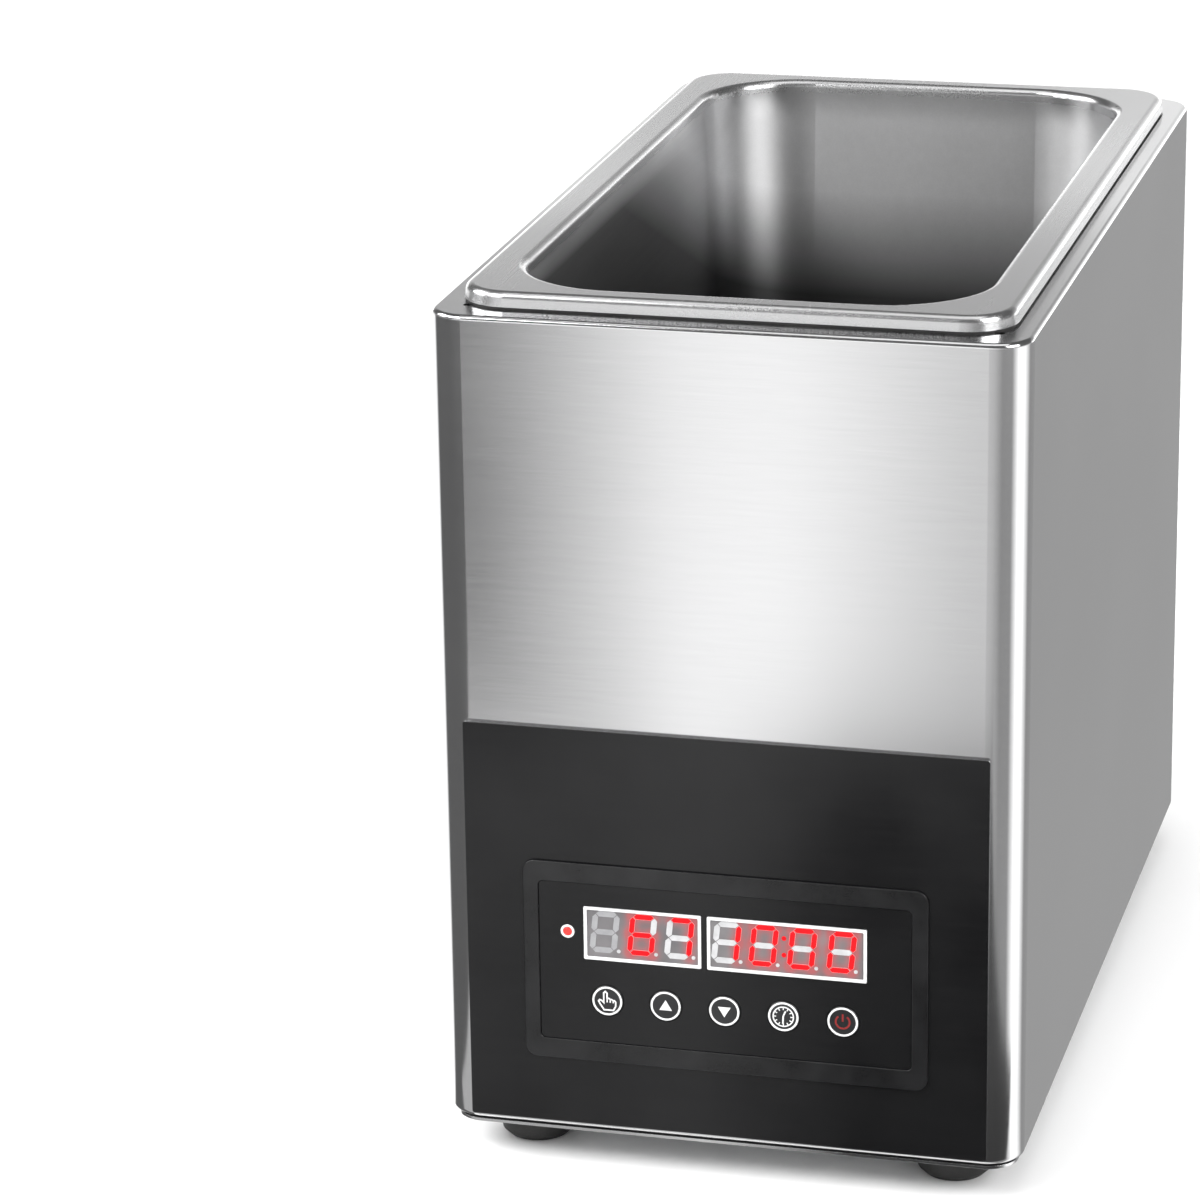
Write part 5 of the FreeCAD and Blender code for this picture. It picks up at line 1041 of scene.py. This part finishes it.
class BOILER_OT_rear_fittings(Maker):
    """Finish the cord gland, the limiter and its reset button"""

    bl_idname = "boiler.rear_fittings"
    bl_label = "Rear fittings"

    def execute(self, context):
        self.gland()
        self.limiter()
        return {"FINISHED"}

    def gland(self):
        nylon = finish(
            moulded, "gland_nylon", (0.014, 0.014, 0.015), (0.034, 0.034, 0.036), (0.36, 0.52),
            "gland_body", "gland_cap", "gland_nut",
        )
        finish(moulded, "gland_rubber", (0.02, 0.02, 0.02), (0.05, 0.05, 0.05), (0.6, 0.8), "gland_seal")
        low, high, middle = middle_of("gland_cap")
        skirt, lip = 8.0 * MM, 0.4 * MM
        ribs = grow(
            "gland_ribs", rib_ring(), Count=16, Radius=(high.x - low.x) / 2,
            Reach=0.9 * MM, Width=1.5 * MM, Height=skirt, Material=nylon,
        )
        ribs.transform(facing_back(middle.x, low.y + lip + skirt / 2, middle.z))
        make_piece("gland_ribs", ribs, "cabinet")

    def limiter(self):
        finish(
            brushed, "limiter_plate", (0.50, 0.49, 0.46), (0.62, 0.61, 0.58), (0.18, 0.3), "limit_nut",
            scale=3600.0, cloud=120.0,
        )
        body_black = finish(
            moulded, "switch_body", (0.018, 0.018, 0.019), (0.040, 0.040, 0.042), (0.34, 0.5),
            "limit_thermostat", "tact_switches", "board_parts", "power_relay",
        )
        _, nut, middle = middle_of("limit_nut")
        pitch = 0.7 * MM
        thread = grow(
            "limiter_thread", thread_stack(),
            Count=int((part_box("limit_thermostat")[1].y - nut.y) / pitch), Radius=4.95 * MM,
            Crest=0.3 * MM, Pitch=pitch, Material=body_black,
        )
        thread.transform(facing_back(middle.x, nut.y + pitch / 2, middle.z))
        thread.shade_smooth()
        make_piece("limiter_thread", thread, "cabinet")
        finish(moulded, "reset_plastic", (0.40, 0.015, 0.015), (0.52, 0.03, 0.03), (0.2, 0.32), "reset_button")


class BOILER_OT_electrics(Maker):
    """Finish the boards, the leads and the limiter's bulb inside the case"""

    bl_idname = "boiler.electrics"
    bl_label = "Electrics"

    def execute(self, context):
        dress(laminated_board("green_board"), "control_board", "power_board")
        core = layered("core_laminations", (0.05, 0.05, 0.055), (0.2, 0.2, 0.21), "X", 320.0, (0.35, 0.6), 0.6)
        dress(core, "power_transformer")
        sleeve = layered("braided_sleeve", (0.36, 0.34, 0.29), (0.66, 0.64, 0.56), "DIAGONAL", 420.0, (0.6, 0.85))
        dress(sleeve, "wiring")
        finish(
            brushed, "drawn_copper", (0.52, 0.24, 0.15), (0.72, 0.38, 0.27), (0.22, 0.4), "limit_bulb",
            scale=2600.0, cloud=70.0,
        )
        finish(moulded, "terminal_nylon", (0.62, 0.60, 0.53), (0.78, 0.76, 0.70), (0.38, 0.55), "terminal_block")
        return {"FINISHED"}


# ---------------------------------------------------------------- stage

# Name, place, point looked at, width, height and watts of each lamp
LAMPS = (
    ("key_light", (-1.3, -1.5, 1.9), (0, 0, 0.15), 1.3, 1.0, 34),
    ("fill_light", (1.7, -0.9, 1.3), (0, 0, 0.25), 1.3, 1.0, 34),
    ("left_light", (-1.8, -0.3, 1.3), (0, 0, 0.25), 1.2, 1.0, 26),
    ("top_light", (0.1, -0.3, 1.9), (0, 0, 0.2), 1.2, 1.2, 6),
)
FLOOR_REACH = 6.0
# Camera: lens and sensor in mm; the point it stands back from, its distance, and its steps left and down
LENS, SENSOR, CLIPS = 145.995, 36.0, (0.05, 50.0)
PIVOT, DISTANCE, STEP_LEFT, STEP_DOWN = Vector((0, -0.03675, 0.1487)), 1.6847, 0.0826, 0.00539
# Cards: the front's depth; where the floor cards begin, meet and end; their height over the floor
FRONT_Y, NEAR, SEAM, FAR, LOW = -0.208, -0.215, -0.585, -2.2, 0.002
# The floor point that the bands on the front fan out from, the case's front corners, and the side cards' reach
HUB, CORNER_X, CORNER_Y, REACH = Vector((0.3356, 1.1867)), 0.088, -0.2, 3.0
HUB_BEARING = -100.0


def light_box(name, place, aim, wide, tall, watts):
    """A soft rectangular lamp that looks at a point."""
    lamp = bpy.data.lights.new(name, "AREA")
    lamp.shape = "RECTANGLE"
    lamp.size, lamp.size_y = wide, tall
    lamp.energy = watts
    item = new_object(name, lamp)
    item.location = place
    item.rotation_euler = (Vector(aim) - Vector(place)).to_track_quat("-Z", "Y").to_euler()


def stage_sheet(name, corners, material, only_gloss=False):
    """A flat sheet of the stage; one that is only for gloss is seen in mirror images alone."""
    mesh = bpy.data.meshes.new(name)
    mesh.from_pydata([Vector(corner) for corner in corners], [], [range(len(corners))])
    mesh.materials.append(material)
    item = new_object(name, mesh)
    if only_gloss:
        item.visible_camera = item.visible_diffuse = item.visible_shadow = item.visible_transmission = False


def reflector(name, corners, hub, middle, stops, fade=None):
    """A glowing card that only shows in gloss; its bands fan out from a hub on the floor.

    The stops give a bearing in degrees and a brightness, and the bearings lie either side
    of the middle one. A fade gives two places on Y with the share of brightness at each.
    """
    material = bpy.data.materials.new(name)
    tree = bare_tree(material)
    place = tree.add("ShaderNodeTexCoord").outputs["Object"]
    turned = tree.add("ShaderNodeMapping", {
        "Vector": place, "Location": (*hub, 0), "Rotation": (0, 0, math.radians(middle)),
    }, vector_type="TEXTURE")
    along = tree.split(turned.outputs[0])
    bearing = tree.maths("ARCTAN2", along["Y"], along["X"])
    first, last = stops[0][0], stops[-1][0]
    share_round = tree.spread(bearing, 0.0, 1.0, math.radians(first - middle), math.radians(last - middle))
    strength = peak = max(level for _, level in stops)
    tone = tree.graded(share_round, [((angle - first) / (last - first), level) for angle, level in stops], peak)
    if fade:
        (start, low), (end, high) = fade
        strength = tree.maths("MULTIPLY", tree.spread(tree.split(place)["Y"], low, high, start, end), peak)
    glow = tree.add("ShaderNodeEmission", {"Color": tone, "Strength": strength})
    tree.add("ShaderNodeOutputMaterial", {"Surface": glow.outputs[0]})
    stage_sheet(name, corners, material, only_gloss=True)


def ahead(x, y):
    """The X at a depth y on the floor that shows at x on the front."""
    return HUB.x + (x - HUB.x) * (y - HUB.y) / (FRONT_Y - HUB.y)


def fanned(levels):
    """Turns places across the front, in mm, into bearings from the hub."""
    return [(math.degrees(math.atan2(FRONT_Y - HUB.y, x * MM - HUB.x)), level) for x, level in levels]


def floor_card(name, y_near, y_far, left, right, height, levels, fade=None):
    """A card on the floor before the front."""
    reflector(name, [
        (ahead(left, y_near), y_near, height), (ahead(left, y_far), y_far, height),
        (ahead(right, y_far), y_far, height), (ahead(right, y_near), y_near, height),
    ], HUB, HUB_BEARING, fanned(levels), fade)


def standing_card(name, left, right, y, bottom, top, middle, stops):
    """An upright card that the bends of the tank's flange mirror."""
    reflector(name, [(left, y, bottom), (right, y, bottom), (right, y, top), (left, y, top)], HUB, middle, stops)


class BOILER_OT_stage(Maker):
    """Set up the pale floor, the soft lights, the reflectors and the camera"""

    bl_idname = "boiler.stage"
    bl_label = "Stage"

    def execute(self, context):
        stage = context.scene.boiler_stage
        self.floor(stage)
        self.surround(context, stage)
        for lamp in LAMPS:
            light_box(*lamp)
        self.cards()
        self.camera(context, stage)
        return {"FINISHED"}

    def floor(self, stage):
        material, tree, shader, place = new_material("pale_floor")
        cloud = tree.noise(place["Object"], 3.0)
        plug(
            tree, shader, Base_Color=tree.blend(cloud, tinted(stage.floor, 0.98), stage.floor),
            Roughness=0.7, Specular_IOR_Level=0.1,
        )
        corners = [(x * FLOOR_REACH, y * FLOOR_REACH, 0) for x, y in ((-1, -1), (1, -1), (1, 1), (-1, 1))]
        stage_sheet("floor", corners, material)

    def surround(self, context, stage):
        """Even light from all round, white to the camera and darker in mirror images."""
        world = bpy.data.worlds.new("studio")
        tree = bare_tree(world)
        path = tree.add("ShaderNodeLightPath").outputs
        toward = tree.split(tree.add("ShaderNodeTexCoord").outputs["Generated"])
        height = tree.spread(toward["Z"], 0.0, 1.0, -0.1, 1.0)
        soft = tree.graded(height, ((0.0, 0.55), (0.35, 0.62), (1.0, 0.95)))
        mirrored = tree.graded(height, ((0.0, 0.45), (0.1, 0.40), (0.3, 0.15), (1.0, 0.10)))

        def background(tone, strength):
            return tree.add("ShaderNodeBackground", {"Color": tone, "Strength": strength}).outputs[0]

        def either(chosen, off, on):
            return tree.add("ShaderNodeMixShader", {0: path[chosen], 1: off, 2: on}).outputs[0]
        around = either("Is Glossy Ray", background(soft, stage.daylight), background(mirrored, 1.0))
        seen = either("Is Camera Ray", around, background((1, 1, 1, 1), 1.1))
        tree.add("ShaderNodeOutputWorld", {"Surface": seen})
        context.scene.world = world

    def cards(self):
        """Floor cards that the front, the corners and the sides mirror, and upright ones for the bends."""
        floor_card("front_runner", SEAM, FAR, -CORNER_X, CORNER_X, LOW, (
            (-90, 0.0), (-80, 0.3), (-15, 1.4), (20, 1.5), (80, 0.9),
        ))
        floor_card("panel_runner", NEAR, SEAM, -0.14, 0.2, LOW + 0.001, (
            (-140, 1.2), (-40, 1.0), (-10, 1.5), (40, 0.1),
        ), ((-0.25, 0.55), (-0.6, 1.0)))
        reflector("right_card", [
            (CORNER_X, CORNER_Y, LOW), (ahead(CORNER_X, FAR), FAR, LOW), (REACH, FAR, LOW), (REACH, REACH, LOW),
            (CORNER_X + 0.05, REACH, LOW),
        ], (CORNER_X, CORNER_Y), 0.0, (
            (-100, 0.9), (-60, 0.4), (-30, 0.4), (-8, 1.8), (14, 1.8), (40, 0.4),
        ))
        reflector("left_card", [
            (-CORNER_X, CORNER_Y, LOW), (-CORNER_X - 0.05, REACH, LOW), (-REACH, REACH, LOW), (-REACH, FAR, LOW),
            (ahead(-CORNER_X, FAR), FAR, LOW),
        ], (-CORNER_X, CORNER_Y), 180.0, ((150, 1.5), (160, 0.15)))
        for name, bottom, top, level in (
            ("back_card_low", 0.13, 0.45, 2.6), ("back_card_middle", 0.45, 0.70, 1.15),
            ("back_card_top", 0.70, 1.1, 0.4),
        ):
            standing_card(name, -1.6, 1.8, 1.5, bottom, top, 90.0, ((0, level), (180, level)))
        standing_card("front_card", -2.6, 1.6, -2.6, 0.15, 0.62, HUB_BEARING, fanned((
            (-700, 0.6), (-100, 2.0), (100, 2.0), (700, 0.6),
        )))

    def camera(self, context, stage):
        data = bpy.data.cameras.new("camera")
        data.sensor_width = SENSOR
        data.lens = LENS
        data.clip_start, data.clip_end = CLIPS
        azimuth, elevation, roll = stage.azimuth, stage.elevation, stage.roll
        flat = math.cos(elevation)
        back = Vector((math.sin(azimuth) * flat, -math.cos(azimuth) * flat, math.sin(elevation)))
        right = (-back).cross(Vector((0, 0, 1))).normalized()
        above = right.cross(-back)
        turned_right = right * math.cos(roll) + above * math.sin(roll)
        turned_up = above * math.cos(roll) - right * math.sin(roll)
        place = PIVOT + back * DISTANCE - right * STEP_LEFT - above * STEP_DOWN
        item = new_object("camera", data)
        turn = Matrix((turned_right, turned_up, back)).transposed().to_4x4()
        item.matrix_world = Matrix.Translation(place) @ turn
        context.scene.camera = item
        context.scene.view_settings.view_transform = "Standard"
        context.scene.view_settings.look = "None"


class BOILER_PT_sidebar(bpy.types.Panel):
    """Lists the boiler's settings and pieces in the 3D view's sidebar"""

    bl_idname = "BOILER_PT_sidebar"
    bl_label = "Egg boiler"
    bl_space_type = "VIEW_3D"
    bl_region_type = "UI"
    bl_category = "Egg boiler"

    def draw(self, context):
        for group in GROUPS:
            box = self.layout.box()
            box.label(text=group)
            settings = getattr(context.scene, group)
            for name in settings.bl_rna.properties.keys():
                if name not in ("rna_type", "name"):
                    box.prop(settings, name)
        for maker in MAKERS:
            self.layout.operator(maker.bl_idname)


GROUPS = {
    "boiler_steel": BoilerSteel, "boiler_panel": BoilerPanel,
    "boiler_display": BoilerDisplay, "boiler_stage": BoilerStage,
}
MAKERS = (
    BOILER_OT_case, BOILER_OT_tank, BOILER_OT_panel, BOILER_OT_displays, BOILER_OT_lamp,
    BOILER_OT_keys, BOILER_OT_drain_valve, BOILER_OT_rear_fittings, BOILER_OT_electrics, BOILER_OT_stage,
)


def register():
    for kind in (*GROUPS.values(), *MAKERS, BOILER_PT_sidebar):
        bpy.utils.register_class(kind)
    for name, kind in GROUPS.items():
        setattr(bpy.types.Scene, name, PointerProperty(type=kind))


def unregister():
    for name in GROUPS:
        delattr(bpy.types.Scene, name)
    for kind in reversed((*GROUPS.values(), *MAKERS, BOILER_PT_sidebar)):
        bpy.utils.unregister_class(kind)


def main():
    register()
    for maker in MAKERS:
        family, action = maker.bl_idname.split(".")
        getattr(getattr(bpy.ops, family), action)()


if __name__ == "__main__":
    main()
